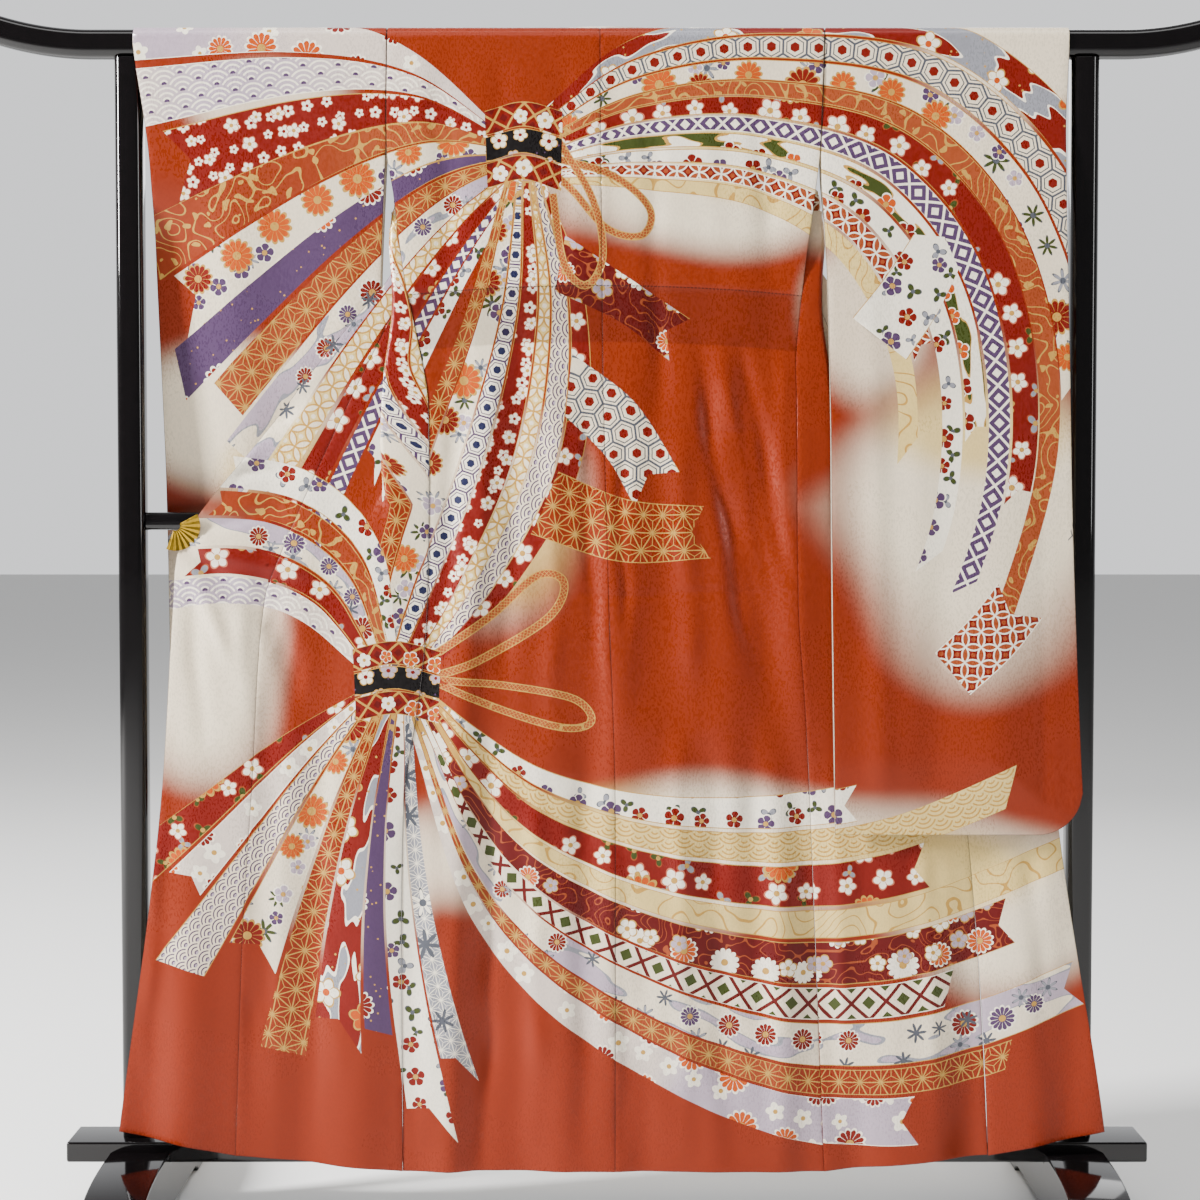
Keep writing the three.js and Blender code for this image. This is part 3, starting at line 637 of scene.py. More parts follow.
# A closed wall: the outer layer, the same layer moved inwards along its normals, and a rim
def wallOf(points, triangles, thickness, dip=0.0):
    count = len(points)
    normals = pointNormals(points, triangles)
    inner = points - normals * thickness
    edges = np.concatenate([triangles[:, [0, 1]], triangles[:, [1, 2]], triangles[:, [2, 0]]])
    keys = np.sort(edges, 1) @ np.array([count, 1])
    _, first, uses = np.unique(keys, return_index=True, return_counts=True)
    i, j = edges[first[uses == 1]].T
    points = points.copy()
    points[i] -= normals[i] * dip
    rim = np.concatenate([np.stack([j, i, i + count], 1), np.stack([j, i + count, j + count], 1)])
    triangles = np.concatenate([triangles, triangles[:, ::-1] + count, rim])
    return np.concatenate([points, inner]), triangles, len(rim)


# Cloth
silk = {"spacing": 7.0, "dip": 0.5, "inset": 2.4, "margin": 8, "apart": 1.7, "railStep": 2.6}
noBorder = 0.05  # metres, farther from an edge than any drawn outline
tuckShift = 0.5  # metres added to the distance from the tuck, so that 0 is no place near it


# Points to cut the cloth at: a lattice of even triangles, finer over the rail, and the extra ones
def clothLattice(outline, extra):
    low, high = outline.min(0), outline.max(0)
    step = silk["spacing"]
    a = np.arange(low[0], high[0] + step, step)
    w = np.arange(low[1], high[1] + step, step * 0.87)
    grid = np.stack(np.meshgrid(a, w), 2)
    grid[1::2, :, 0] += step / 2
    acrossRail = np.arange(garment["bend"] - railRun - 3, garment["bend"] + 3, silk["railStep"])
    rail = np.stack(np.meshgrid(a, acrossRail), 2).reshape(-1, 2)
    points = grid.reshape(-1, 2)
    if low[1] < 0:
        points = np.concatenate([awayFrom(points, rail, step * 0.7), rail])
    if len(extra):
        points = np.concatenate([awayFrom(points, extra, 3.0), extra])
    return points[insideOf(points, outline)]


# The dyed bands that a piece shows: each with its zone, its outline on the flat piece and which
# of the outline's points lie near the piece
def shownBands(zones, outline):
    low, high = outline.min(0) - silk["margin"], outline.max(0) + silk["margin"]
    shown = []
    for zone in zones:
        for dyed in ribbons:
            if dyed["short"] and zone is not zones[0]:
                continue
            shape = zone["onCloth"](dyed["outline"])
            near = ((shape > low) & (shape < high)).all(1)
            near &= shape[:, 1] > zone["low"] - silk["margin"]
            near &= shape[:, 1] < zone["high"] + silk["margin"]
            if near.sum() > 2:
                shown.append((zone, dyed, shape, near))
    return shown


# Triangles of a flat piece that follow its outline, the bands' edges and the zones' borders
def cutSheet(side, outline, zones, shown, extra):
    heading = np.roll(outline, -1, 0) - np.roll(outline, 1, 0)
    heading /= np.linalg.norm(heading, axis=1)[:, None]
    inwards = np.stack([-heading[:, 1], heading[:, 0]], 1) * silk["inset"]
    x, y = outline.T
    inset = outline + inwards * np.sign((x * np.roll(y, -1) - y * np.roll(x, -1)).sum())
    inset = inset[insideOf(inset, outline)]
    lattice = clothLattice(outline, np.concatenate([extra, inset]))
    count = len(outline)
    lines, edges = [outline], [np.stack([np.arange(count), (np.arange(count) + 1) % count], 1)]
    for _, _, shape, near in shown:
        index = np.cumsum(near) - 1 + count
        both = np.flatnonzero(near & np.roll(near, -1))
        edges.append(np.stack([index[both], np.roll(index, -1)[both]], 1))
        lines.append(shape[near])
        count += near.sum()
    fixed = np.concatenate(lines)
    lattice = awayFrom(lattice, np.concatenate([fixed, inset]), silk["apart"])
    low, high = outline.min(0) - silk["margin"], outline.max(0) + silk["margin"]
    for zone in zones:
        if zone["high"] < high[1]:
            fixed = np.concatenate([fixed, [(low[0], zone["high"]), (high[0], zone["high"])]])
            edges.append(np.array([[count, count + 1]]))
            count += 2
    points = np.concatenate([fixed, lattice, inset]).tolist()
    flat, _, triangles, *_ = delaunay_2d_cdt(points, np.concatenate(edges).tolist(), [], 0, 1e-3, False)
    flat, triangles = np.array(flat), np.array(triangles)
    p, q, r = (flat[triangles[:, k]] for k in range(3))
    area = np.cross(q - p, r - p)
    keep = insideOf(flat[triangles].mean(1), outline) & (np.abs(area) > 1e-3)
    triangles, area = triangles[keep], area[keep]
    wrong = (area > 0) == (side > 0)
    triangles[wrong] = triangles[wrong][:, ::-1]
    used, triangles = np.unique(triangles, return_inverse=True)
    return flat[used], triangles.reshape(-1, 3)


# Each point's place on the pattern, then for the triangles their fill, their corners' places
# along and across the band, and what is left to its edge and to the seam. The last band that a
# triangle lies in gives its fill.
def dyeSheet(flat, triangles, outline, zones, shown):
    seen = np.zeros((len(flat), 2))
    for zone in zones:
        inZone = (flat[:, 1] >= zone["low"] - 1e-6) & (flat[:, 1] <= zone["high"] + 1e-6)
        seen[inZone] = zone["onPattern"](flat[inZone])
    fills, fill = [groundSilk, liningSilk], np.zeros(len(triangles), int)
    along = seen[triangles] / 1000
    border = np.full((len(triangles), 3, 2), noBorder)
    # Distance to the seam, where a painted shade line darkens the silk
    border[..., 1] = seamDistance(flat, outline)[triangles] / 1000
    centres = flat[triangles].mean(1)
    for zone, dyed, shape, _ in shown:
        inZone = (centres[:, 1] > zone["low"]) & (centres[:, 1] < zone["high"])
        here = np.flatnonzero(inZone)[insideOf(centres[inZone], shape)]
        if not len(here):
            continue
        material = fillSilks[dyed["fill"]]
        if material not in fills:
            fills.append(material)
        fill[here] = fills.index(material)
        s, t, gap = alongRibbon(dyed, zone["onPattern"](flat[triangles[here]].reshape(-1, 2)))
        along[here] = np.stack([s + dyed["shift"], t], 1).reshape(-1, 3, 2) / 1000
        border[here, :, 0] = gap.reshape(-1, 3) / 1000
    return seen, fills, fill, along, border


# A map with one place for each corner of each triangle
def addUv(piece, name, corners):
    corners = np.asarray(corners, np.float32).ravel()
    piece.data.uv_layers.new(name=name).data.foreach_set("uv", corners)


# A cloth piece from its flat outline: cut, dyed, put in place by its surface, with the lining
# as the inner face of one closed wall
def clothPiece(name, node, side, outline, surface, zones, extra=np.zeros((0, 2))):
    shown = shownBands(zones, outline)
    flat, triangles = cutSheet(side, outline, zones, shown, extra)
    seen, fills, fill, along, border = dyeSheet(flat, triangles, outline, zones, shown)
    points = surface(side, flat[:, 0], flat[:, 1])
    points, wall, rim = wallOf(points, triangles, garment["wall"], silk["dip"])
    slots = np.concatenate([fill, np.ones(len(fill), int), np.zeros(rim, int)])
    piece = meshPiece(name, points, wall, fills, slots, 50)
    rimUv = np.zeros((rim, 3, 2))
    addUv(piece, "cloth", np.concatenate([along, seen[triangles][:, ::-1] / 1000, rimUv]))
    addUv(piece, "border", np.concatenate([border, border[:, ::-1], rimUv + noBorder]))
    fromTuck = np.full(len(flat), -0.4)
    if name.startswith("body"):
        back = flat[:, 1] > turnLine
        fromTuck[back] = (flat[back, 1] - tuckDrop(side * flat[back, 0])) / 1000
    for label, value in zip(("pale", "warm", "tuck"), [*bokashi(seen), fromTuck + tuckShift]):
        layer = piece.data.attributes.new(label, "FLOAT", "POINT")
        layer.data.foreach_set("value", np.tile(value, 2).astype(np.float32))
    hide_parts(node)
    print(name, len(wall), "triangles,", len(fills), "fills")
    return piece


# Distance from each point to the nearest stretch of the outline, up to 6 mm
def seamDistance(points, outline):
    a = outline
    step = np.roll(outline, -1, 0) - a
    length = (step**2).sum(1)
    out = np.full(len(points), 6.0)
    for first in range(0, len(points), 3000):
        p = points[first:first + 3000, None]
        share = np.clip(((p - a) * step).sum(2) / length, 0, 1)
        gap = p - (a + share[..., None] * step)
        out[first:first + 3000] = np.minimum(np.sqrt((gap**2).sum(2).min(1)), 6.0)
    return out


# Place of points along and across a dyed band: the nearest stretch of its middle line, the
# distance from that line, and what is left to the band's edge
def alongRibbon(dyed, points):
    line, half = dyed["middle"], dyed["half"]
    a, b = line[:-1], line[1:]
    step = b - a
    length = np.maximum(np.linalg.norm(step, axis=1), 1e-6)
    start = np.concatenate([[0], np.cumsum(length)])[:-1]
    out = np.zeros((3, len(points)))
    for first in range(0, len(points), 4000):
        p = points[first:first + 4000]
        share = ((p[:, None] - a) * step).sum(2) / length**2
        share = np.clip(share, 0, 1)
        gap = p[:, None] - (a + share[..., None] * step)
        distance = (gap**2).sum(2)
        i = distance.argmin(1)
        rows = np.arange(len(p))
        turn = step[i, 0] * gap[rows, i, 1] - step[i, 1] * gap[rows, i, 0]
        t = np.sign(turn) * np.sqrt(distance[rows, i])
        width = mix(half[i], half[i + 1], share[rows, i])
        s = start[i] + share[rows, i] * length[i]
        out[:, first:first + 4000] = s, t, np.maximum(width - np.abs(t), 0)
    return out


# The back: the pattern lies as it is charted
def backZone(side, low, high):
    def onBoth(p):
        return p * (side, 1)

    return {"low": low, "high": high, "onCloth": onBoth, "onPattern": onBoth}


# Past the rail the pattern comes back down the other side
def overZone(side, low, high):
    def turned(p):
        return np.stack([side * p[:, 0], mirrored(p[:, 1])], 1)

    return {"low": low, "high": high, "onCloth": turned, "onPattern": turned}


# The opened front: the pattern runs on from the overlap panel, inwards from its seam
def frontZone(side, low, high):
    name = "left" if side < 0 else "right"

    def reach(drop):
        return readRows(backEdges, name, drop) + readRows(frontRows, "okumi", drop) - frontWidth(side, drop)

    def onCloth(p):
        return np.stack([reach(p[:, 1]) - side * p[:, 0], mirrored(p[:, 1])], 1)

    def onPattern(p):
        drop = mirrored(p[:, 1])
        return np.stack([side * (reach(drop) - p[:, 0]), drop], 1)

    return {"low": low, "high": high, "onCloth": onCloth, "onPattern": onPattern}


# Repeats, each charted in its own cell: "Line" is where its drawn lines lie, "Fill" its filled
# parts. "Point" is in metres and "Size" is the cell.
def repeatGroup(name, draw):
    inputs = [("Point", "Vector", None), ("Size", "Float", 0.03)]
    tree, s, given, out = newGroup(name, inputs, [("Line", "Float"), ("Fill", "Float")])
    cells = s.vector("SCALE", given["Point"], s.over(1.0, given["Size"]))
    line, fill = draw(s, *s.parts(cells))
    s.feed(out["Line"], line)
    s.feed(out["Fill"], fill)
    return tree


# Length of a flat vector: root of the sum of the squares
def length2(s, x, y):
    return s.sum("SQRT", s.plus(s.times(x, x), s.times(y, y)))


# Wave scales: rows of circles a quarter apart, every other row shifted by half, lower ones in front
def drawScales(s, x, y):
    first = s.sum("FLOOR", s.scaled(y, 4.0, -1.0))
    distances = []
    for k in range(3):
        row = s.plus(first, float(k))
        shift = s.times(s.sum("FLOORED_MODULO", row, 2.0), 0.5)
        dx = s.minus(s.sum("FRACT", s.plus(x, shift)), 0.5)
        dy = s.minus(y, s.times(row, 0.25))
        distances.append(length2(s, dx, dy))
    nearest = distances[2]
    for d in (distances[1], distances[0]):
        inside = s.below(d, 0.5)
        nearest = s.plus(s.times(inside, d), s.times(s.minus(1.0, inside), nearest))
    rings = s.sum("FRACT", s.times(nearest, 7.0))
    return s.above(rings, 0.62), s.below(nearest, 0.13)


# Distances in a lattice of triangles: the three shares of the triangle's corners at a point
def cornerShares(s, x, y):
    v = s.times(y, 1.1547)
    u = s.scaled(y, -0.57735, x)
    fu, fv = s.sum("FRACT", u), s.sum("FRACT", v)
    flip = s.above(s.plus(fu, fv), 1.0)
    a = s.sum("ABSOLUTE", s.minus(fu, flip))
    b = s.sum("ABSOLUTE", s.minus(fv, flip))
    c = s.minus(s.minus(1.0, a), b)
    low = s.least(s.least(a, b), c)
    high = s.most(s.most(a, b), c)
    return low, s.minus(s.minus(1.0, low), high), high


# Hemp leaf: the triangles' sides and the lines from their corners to their middles
def drawHemp(s, x, y):
    low, mid, high = cornerShares(s, x, y)
    edge = s.least(low, s.minus(mid, low))
    return s.below(edge, 0.035), s.above(high, 0.9)


# Tortoiseshell: hexagons where two shares are equal, a smaller one inside, a dot in the middle
def drawTortoise(s, x, y):
    low, mid, high = cornerShares(s, x, y)
    gap = s.minus(high, mid)
    outer = s.below(gap, 0.09)
    inner = s.below(s.sum("ABSOLUTE", s.minus(gap, 0.3)), 0.05)
    return s.most(outer, inner), s.above(gap, 0.62)


# Linked rings: circles round the corners and round the middles of square cells
def drawRings(s, x, y):
    distances = []
    for shift in (0.5, 0.0):
        dx = s.minus(s.sum("FRACT", s.plus(x, shift)), 0.5)
        dy = s.minus(s.sum("FRACT", s.plus(y, shift)), 0.5)
        distances.append(length2(s, dx, dy))
    edges = [s.sum("ABSOLUTE", s.minus(d, 0.5)) for d in distances]
    both = s.most(*distances)
    near = s.least(*distances)
    return s.below(s.least(*edges), 0.035), s.most(s.below(both, 0.46), s.below(near, 0.1))


# Lozenges with a small lozenge in each
def drawLozenges(s, x, y):
    parts = [s.sum("ABSOLUTE", s.minus(s.sum("FRACT", s.sum(kind, x, y)), 0.5))
             for kind in ("ADD", "SUBTRACT")]
    far = s.most(*parts)
    return s.above(far, 0.43), s.below(far, 0.2)


# Curling vine: level lines of a soft noise, with small leaves where a finer noise is high
def drawVine(s, x, y):
    place = s.joined(x, y)
    field = s.sum("FRACT", s.times(s.noise(place, 1.0, 0.6), 9.0))
    line = s.below(s.sum("ABSOLUTE", s.minus(field, 0.5)), 0.07)
    return line, s.above(s.noise(place, 3.4, 0.0), 0.68)


# Mist bands: long soft-edged patches with a lighter line along their edges
def drawMist(s, x, y):
    place = s.joined(s.times(x, 0.45), s.times(y, 1.5))
    field = s.noise(place, 1.3, 1.0)
    return s.below(s.sum("ABSOLUTE", s.minus(field, 0.52)), 0.012), s.above(field, 0.52)


# Scattered dust: a dot at some of the points of a jittered lattice
def drawDust(s, x, y):
    cells = s.add("ShaderNodeTexVoronoi", {"Vector": s.joined(x, y), "Scale": 1.0}, feature="F1")
    shade = s.parts(cells.outputs["Color"])[0]
    size = s.times(s.above(shade, 0.45), 0.16)
    dot = s.below(cells.outputs["Distance"], size)
    return dot, dot


waveScales = repeatGroup("waveScales", drawScales)
hempLeaf = repeatGroup("hempLeaf", drawHemp)
tortoise = repeatGroup("tortoise", drawTortoise)
linkedRings = repeatGroup("linkedRings", drawRings)
lozenges = repeatGroup("lozenges", drawLozenges)
vine = repeatGroup("vine", drawVine)
mist = repeatGroup("mist", drawMist)
dust = repeatGroup("dust", drawDust)


# Blossoms: one flower in some of the cells, turned and shifted by chance. Its edge is a circle
# cut in between the petals: R (1 - cut + cut |cos(n angle / 2)|^keen)
def blossomGroup():
    inputs = [("Point", "Vector", None), ("Size", "Float", 0.05), ("Petals", "Float", 5.0),
              ("Cut", "Float", 0.4), ("Keen", "Float", 0.6), ("Share", "Float", 0.6),
              ("Chance", "Float", 1.0)]
    tree, s, given, out = newGroup("blossoms", inputs, [
        ("Line", "Float"), ("Fill", "Float"), ("Heart", "Float"), ("Tone", "Float")])
    cells = s.vector("SCALE", given["Point"], s.over(1.0, given["Size"]))
    x, y = s.parts(cells)
    y = s.scaled(given["Chance"], 0.37, y)
    row = s.sum("FLOOR", y)
    x = s.plus(x, s.scaled(s.sum("FLOORED_MODULO", row, 2.0), 0.5, given["Chance"]))
    chance = s.add("ShaderNodeTexWhiteNoise", {
        "Vector": s.joined(s.sum("FLOOR", x), row, given["Chance"])}, noise_dimensions="3D")
    red, green, blue = s.add("ShaderNodeSeparateXYZ", {0: chance.outputs["Color"]}).outputs
    dx = s.minus(s.sum("FRACT", x), s.scaled(red, 0.2, 0.4))
    dy = s.minus(s.sum("FRACT", y), s.scaled(green, 0.2, 0.4))
    size = s.scaled(chance.outputs["Value"], 0.13, 0.27)
    radius = s.over(length2(s, dx, dy), size)
    angle = s.scaled(red, 6.283, s.sum("ARCTAN2", dy, dx))
    wave = s.sum("ABSOLUTE", s.sum("COSINE", s.times(s.times(angle, given["Petals"]), 0.5)))
    petal = s.sum("POWER", wave, given["Keen"])
    edge = s.minus(1.0, s.times(given["Cut"], s.minus(1.0, petal)))
    there = s.below(blue, given["Share"])
    inside = s.times(s.below(radius, edge), there)
    rim = s.above(radius, s.times(edge, 0.86))
    between = s.times(s.below(wave, 0.16), s.above(radius, 0.3))
    s.feed(out["Fill"], inside)
    s.feed(out["Line"], s.times(inside, s.most(rim, between)))
    s.feed(out["Heart"], s.times(s.below(radius, 0.24), there))
    s.feed(out["Tone"], green)
    return tree


blossoms = blossomGroup()


# Silk: a small damask of satin on a matt ground, fine twill, and a slow unevenness. "Shine"
# is the roughness, the second output darkens the colour over the satin figure as painted sheen and at
# random as uneven tone, "Bump" is a height in metres.
def silkGroup():
    inputs = [("Point", "Vector", None), ("Satin", "Float", 0.3), ("Matt", "Float", 0.46)]
    tree, s, given, out = newGroup("damaskSilk", inputs,
        [("Shine", "Float"), ("PaintedSheenAndTone", "Float"), ("Bump", "Float")])
    grain = s.noise(s.vector("MULTIPLY", given["Point"], (430.0, 120.0, 210.0)), 1.0, 1.0)
    satin = s.ramp(grain, 0.46, 0.58)
    x, y = s.parts(given["Point"])
    twill = s.sum("SINE", s.times(s.scaled(y, 0.6, x), 7400.0))
    uneven = s.noise(given["Point"], 6.0, 1.0)
    shine = s.plus(given["Matt"], s.times(satin, s.minus(given["Satin"], given["Matt"])))
    s.feed(out["Shine"], s.scaled(uneven, 0.12, s.minus(shine, 0.06)))
    # Painted sheen: the satin figure is darkened in colour; the uneven noise adds random tone
    s.feed(out["PaintedSheenAndTone"], s.plus(s.times(satin, 0.16), s.times(uneven, 0.16)))
    s.feed(out["Bump"], s.scaled(twill, 0.0000025, s.times(s.noise(given["Point"], 30.0, 1.0), 0.0007)))
    return tree


damaskSilk = silkGroup()


# The tuck's line of short stitches on a painted shadow line along its fold, and below it a painted shade
# band where the cloth lies doubled. "Way" is the distance below the line plus half a metre, so nothing
# shows where it is not set.
def tuckGroup():
    tree, s, given, out = newGroup("tuckLine", [("Point", "Vector", None)],
        [("StitchesAndFoldShadow", "Float"), ("ShadeBelowTuck", "Float")])
    way = s.minus(s.add("ShaderNodeAttribute", attribute_name="tuck").outputs["Fac"], tuckShift)
    x = s.parts(given["Point"])[0]
    dash = s.below(s.sum("FRACT", s.times(x, 190.0)), 0.62)
    # The whole line is a painted shadow of the tuck's fold; the dashes on it are the stitches
    line = s.ramp(s.sum("ABSOLUTE", way), 0.0005, 0.0013, 1.0, 0.0)
    s.feed(out["StitchesAndFoldShadow"], s.times(line, s.scaled(dash, 0.45, 0.4)))
    # Painted shade: a band about 80 mm deep below the tuck line
    s.feed(out["ShadeBelowTuck"], s.times(s.ramp(way, 0.0, 0.002), s.ramp(way, 0.079, 0.083, 1.0, 0.0)))
    return tree


tuckLine = tuckGroup()


# The silk's own finish over its dyes: damask with painted sheen, the tuck with painted shade, a painted
# shade line along the seams, gloss and bump. Dyed silk tints its gloss, by its colour with a little white
# in it, brightened 3.5 times, at most 1.
def finishSilk(s, gloss, colour, point, satin=0.27, matt=0.42, tucked=1.0):
    silk = useGroup(s, damaskSilk, {"Point": point, "Satin": satin, "Matt": matt})
    shaded = s.mixed(silk["PaintedSheenAndTone"], colour, s.vector("SCALE", colour, 0.55))
    tuck = useGroup(s, tuckLine, {"Point": point})
    # Painted shade below the tuck, in dark brown
    shaded = s.mixed(s.times(tuck["ShadeBelowTuck"], 0.3 * tucked), shaded, tone("2a0d06"))
    # The tuck's stitches on a painted shadow line
    shaded = s.mixed(s.times(tuck["StitchesAndFoldShadow"], tucked), shaded, tone("1c0805"))
    # Painted shade: a dark line along each seam, strongest at the panel's edge
    seam = s.parts(s.add("ShaderNodeUVMap", uv_map="border").outputs[0])[1]
    shaded = s.mixed(s.ramp(seam, 0.0002, 0.0012, 0.7, 0.0), shaded, tone("1c0805"))
    s.feed(gloss.inputs["Base Color"], shaded)
    s.feed(gloss.inputs["Roughness"], silk["Shine"])
    bump = s.add("ShaderNodeBump", {"Height": silk["Bump"], "Strength": 0.55, "Distance": 1.0})
    s.feed(gloss.inputs["Normal"], bump.outputs["Normal"])
    tint = s.vector("MINIMUM", s.vector("SCALE", s.mixed(0.075, colour, (1, 1, 1, 1)), 3.5), (1, 1, 1))
    s.feed(gloss.inputs["Specular Tint"], tint)
    gloss.inputs["Specular IOR Level"].default_value = 0.75


dyes = {
    "ground": "742209", "ivory": "d9c9ae", "white": "e6dcc8", "yellow": "ccb06c", "red": "66120a",
    "deep": "500d0b", "orange": "ac430e", "lilac": "a08f9c", "purple": "44304c", "grey": "7d7d83",
    "smoke": "45474e", "olive": "343b17", "black": "100d0d", "gold": "aa7f3b", "rose": "aa5e46",
    "copper": "883d1e", "navy": "1f213c",
}


# A band's silk from its ground and its layers, each drawn over the last
def bandSilk(name, ground, layers, edge="gold", faded=0.0, fadeTo="ivory"):
    material, s, gloss = newMaterial(name)
    point = s.add("ShaderNodeUVMap", uv_map="cloth").outputs[0]
    border = s.add("ShaderNodeUVMap", uv_map="border").outputs[0]
    fade = s.ramp(s.noise(s.joined(s.parts(point)[0], 0.0, 0.3), 2.2, 0.0), 0.46, 0.6)
    colour = s.mixed(s.times(fade, faded), tone(dyes[ground]), tone(dyes[fadeTo]))
    for kind, size, line, fill, *more in layers:
        if kind is blossoms:
            petals, cut, keen, share, chance, heart, second = more
            made = useGroup(s, kind, {"Point": point, "Size": size, "Petals": petals, "Cut": cut,
                                      "Keen": keen, "Share": share, "Chance": chance})
            petal = s.mixed(s.above(made["Tone"], 0.55), tone(dyes[fill]), tone(dyes[second]))
            colour = s.mixed(made["Fill"], colour, petal)
            colour = s.mixed(made["Line"], colour, tone(dyes[line]))
            colour = s.mixed(made["Heart"], colour, tone(dyes[heart]))
            continue
        made = useGroup(s, kind, {"Point": point, "Size": size})
        if fill:
            colour = s.mixed(made["Fill"], colour, tone(dyes[fill]))
        if line:
            colour = s.mixed(made["Line"], colour, tone(dyes[line]))
    rim = s.below(s.parts(border)[0], 0.0013)
    colour = s.mixed(rim, colour, tone(dyes[edge]))
    finishSilk(s, gloss, colour, s.add("ShaderNodeTexCoord").outputs["Object"])
    return material


# petals, how deep the cuts between them are, how keen they are
mum = (13.0, 0.3, 0.5)
plum = (5.0, 0.42, 0.45)
cherry = (5.0, 0.34, 1.3)
leaf = (3.0, 0.8, 1.6)
maple = (7.0, 0.72, 2.2)
fillSilks = {
    "waves": bandSilk("wavesOnIvory", "ivory", [(waveScales, 0.036, "purple", "lilac")]),
    "wavesLilac": bandSilk("wavesOnLilac", "lilac", [(waveScales, 0.05, "white", "purple")], "white", 0.6),
    "wavesGold": bandSilk("wavesOnYellow", "yellow", [(waveScales, 0.044, "gold", None)]),
    "hemp": bandSilk("hempOnRed", "ground", [(hempLeaf, 0.03, "gold", None)], "gold", 0.6, "copper"),
    "hempIvory": bandSilk("hempOnIvory", "ivory", [(hempLeaf, 0.032, "purple", "red")]),
    "tortoise": bandSilk("tortoiseOnIvory", "ivory", [(tortoise, 0.034, "smoke", "red")]),
    "tortoisePurple": bandSilk("tortoiseOnPurple", "white", [(tortoise, 0.028, "purple", "navy")]),
    "rings": bandSilk("ringsOnYellow", "yellow", [(linkedRings, 0.034, "gold", "ivory")]),
    "ringsRed": bandSilk("ringsOnRed", "red", [(linkedRings, 0.032, "white", "copper")], "white"),
    "lozenge": bandSilk("lozengeOnPurple", "purple", [(lozenges, 0.036, "white", "white")], "white"),
    "lozengeRed": bandSilk("lozengeOnIvory", "ivory", [(lozenges, 0.05, "deep", "olive")], "white"),
    "vine": bandSilk("vineOnRed", "copper", [(vine, 0.05, "gold", "gold")], "gold", 0.7, "ground"),
    "vineYellow": bandSilk("vineOnYellow", "yellow", [(vine, 0.06, "gold", None)]),
    "cord": bandSilk("cordOrange", "copper", [(lozenges, 0.006, "gold", None)]),
    "dustPurple": bandSilk("dustOnPurple", "purple", [
        (dust, 0.009, "gold", "gold"),
        (blossoms, 0.075, "white", "red", *mum, 0.5, 3.0, "gold", "orange")]),
    "dustOlive": bandSilk("dustOnOlive", "olive", [
        (dust, 0.008, "gold", "gold"),
        (blossoms, 0.06, "white", "white", *plum, 0.4, 5.0, "orange", "lilac")]),
    "flowers": bandSilk("flowersOnIvory", "ivory", [
        (blossoms, 0.05, "smoke", "grey", *maple, 0.6, 7.0, "smoke", "olive"),
        (blossoms, 0.042, "white", "purple", *plum, 0.5, 2.0, "gold", "lilac"),
        (blossoms, 0.07, "gold", "orange", *mum, 0.75, 9.0, "gold", "red")]),
    "flowersSmall": bandSilk("flowersOnWhite", "white", [
        (blossoms, 0.034, "smoke", "olive", *leaf, 0.6, 4.0, "smoke", "grey"),
        (blossoms, 0.045, "white", "red", *plum, 0.75, 6.0, "gold", "purple")]),
    "flowersRed": bandSilk("flowersOnRed", "red", [
        (blossoms, 0.04, "copper", "olive", *leaf, 0.5, 8.0, "gold", "grey"),
        (blossoms, 0.05, "rose", "white", *cherry, 0.8, 1.0, "gold", "white"),
        (blossoms, 0.08, "gold", "orange", *mum, 0.35, 2.5, "red", "white")]),
    "flowersDeep": bandSilk("flowersOnDeepRed", "deep", [
        (vine, 0.035, "copper", None),
        (blossoms, 0.06, "white", "orange", *mum, 0.7, 3.5, "gold", "white"),
        (blossoms, 0.04, "gold", "lilac", *plum, 0.5, 6.5, "gold", "white")]),
    "flowersLilac": bandSilk("flowersOnLilac", "lilac", [
        (blossoms, 0.042, "white", "white", *cherry, 0.6, 1.5, "gold", "white"),
        (blossoms, 0.07, "white", "red", *mum, 0.65, 5.5, "gold", "orange")], "white", 0.6),
    "cherry": bandSilk("cherryOnRed", "red", [
        (blossoms, 0.027, "rose", "white", *cherry, 0.92, 4.5, "red", "white"),
        (blossoms, 0.033, "rose", "white", *cherry, 0.55, 7.5, "gold", "white")]),
    "mistRed": bandSilk("mistOnRed", "red", [
        (mist, 0.06, "white", "grey"), (dust, 0.011, "gold", "gold"),
        (blossoms, 0.06, "gold", "white", *cherry, 0.45, 8.5, "orange", "orange")]),
    "mistIvory": bandSilk("mistOnIvory", "ivory", [
        (mist, 0.07, "grey", "lilac"), (blossoms, 0.055, "white", "red", *mum, 0.55, 9.5, "gold", "purple"),
        (blossoms, 0.04, "smoke", "grey", *maple, 0.4, 2.2, "smoke", "smoke")]),
    "mistOlive": bandSilk("mistOnOlive", "white", [
        (mist, 0.05, "gold", "olive"),
        (blossoms, 0.05, "white", "orange", *plum, 0.6, 3.3, "gold", "red")]),
    "plain": bandSilk("leavesOnGrey", "grey", [
        (hempLeaf, 0.02, "white", None),
        (blossoms, 0.06, "smoke", "white", *maple, 0.5, 6.6, "smoke", "smoke")], "white"),
    "knotRed": bandSilk("knotRed", "red", [
        (lozenges, 0.03, "gold", "deep"),
        (blossoms, 0.034, "white", "white", *plum, 0.9, 1.1, "gold", "orange")]),
    "knotBlack": bandSilk("knotBlack", "black", [
        (dust, 0.009, "purple", "purple"),
        (blossoms, 0.034, "gold", "lilac", *plum, 0.95, 2.1, "red", "white")]),
}

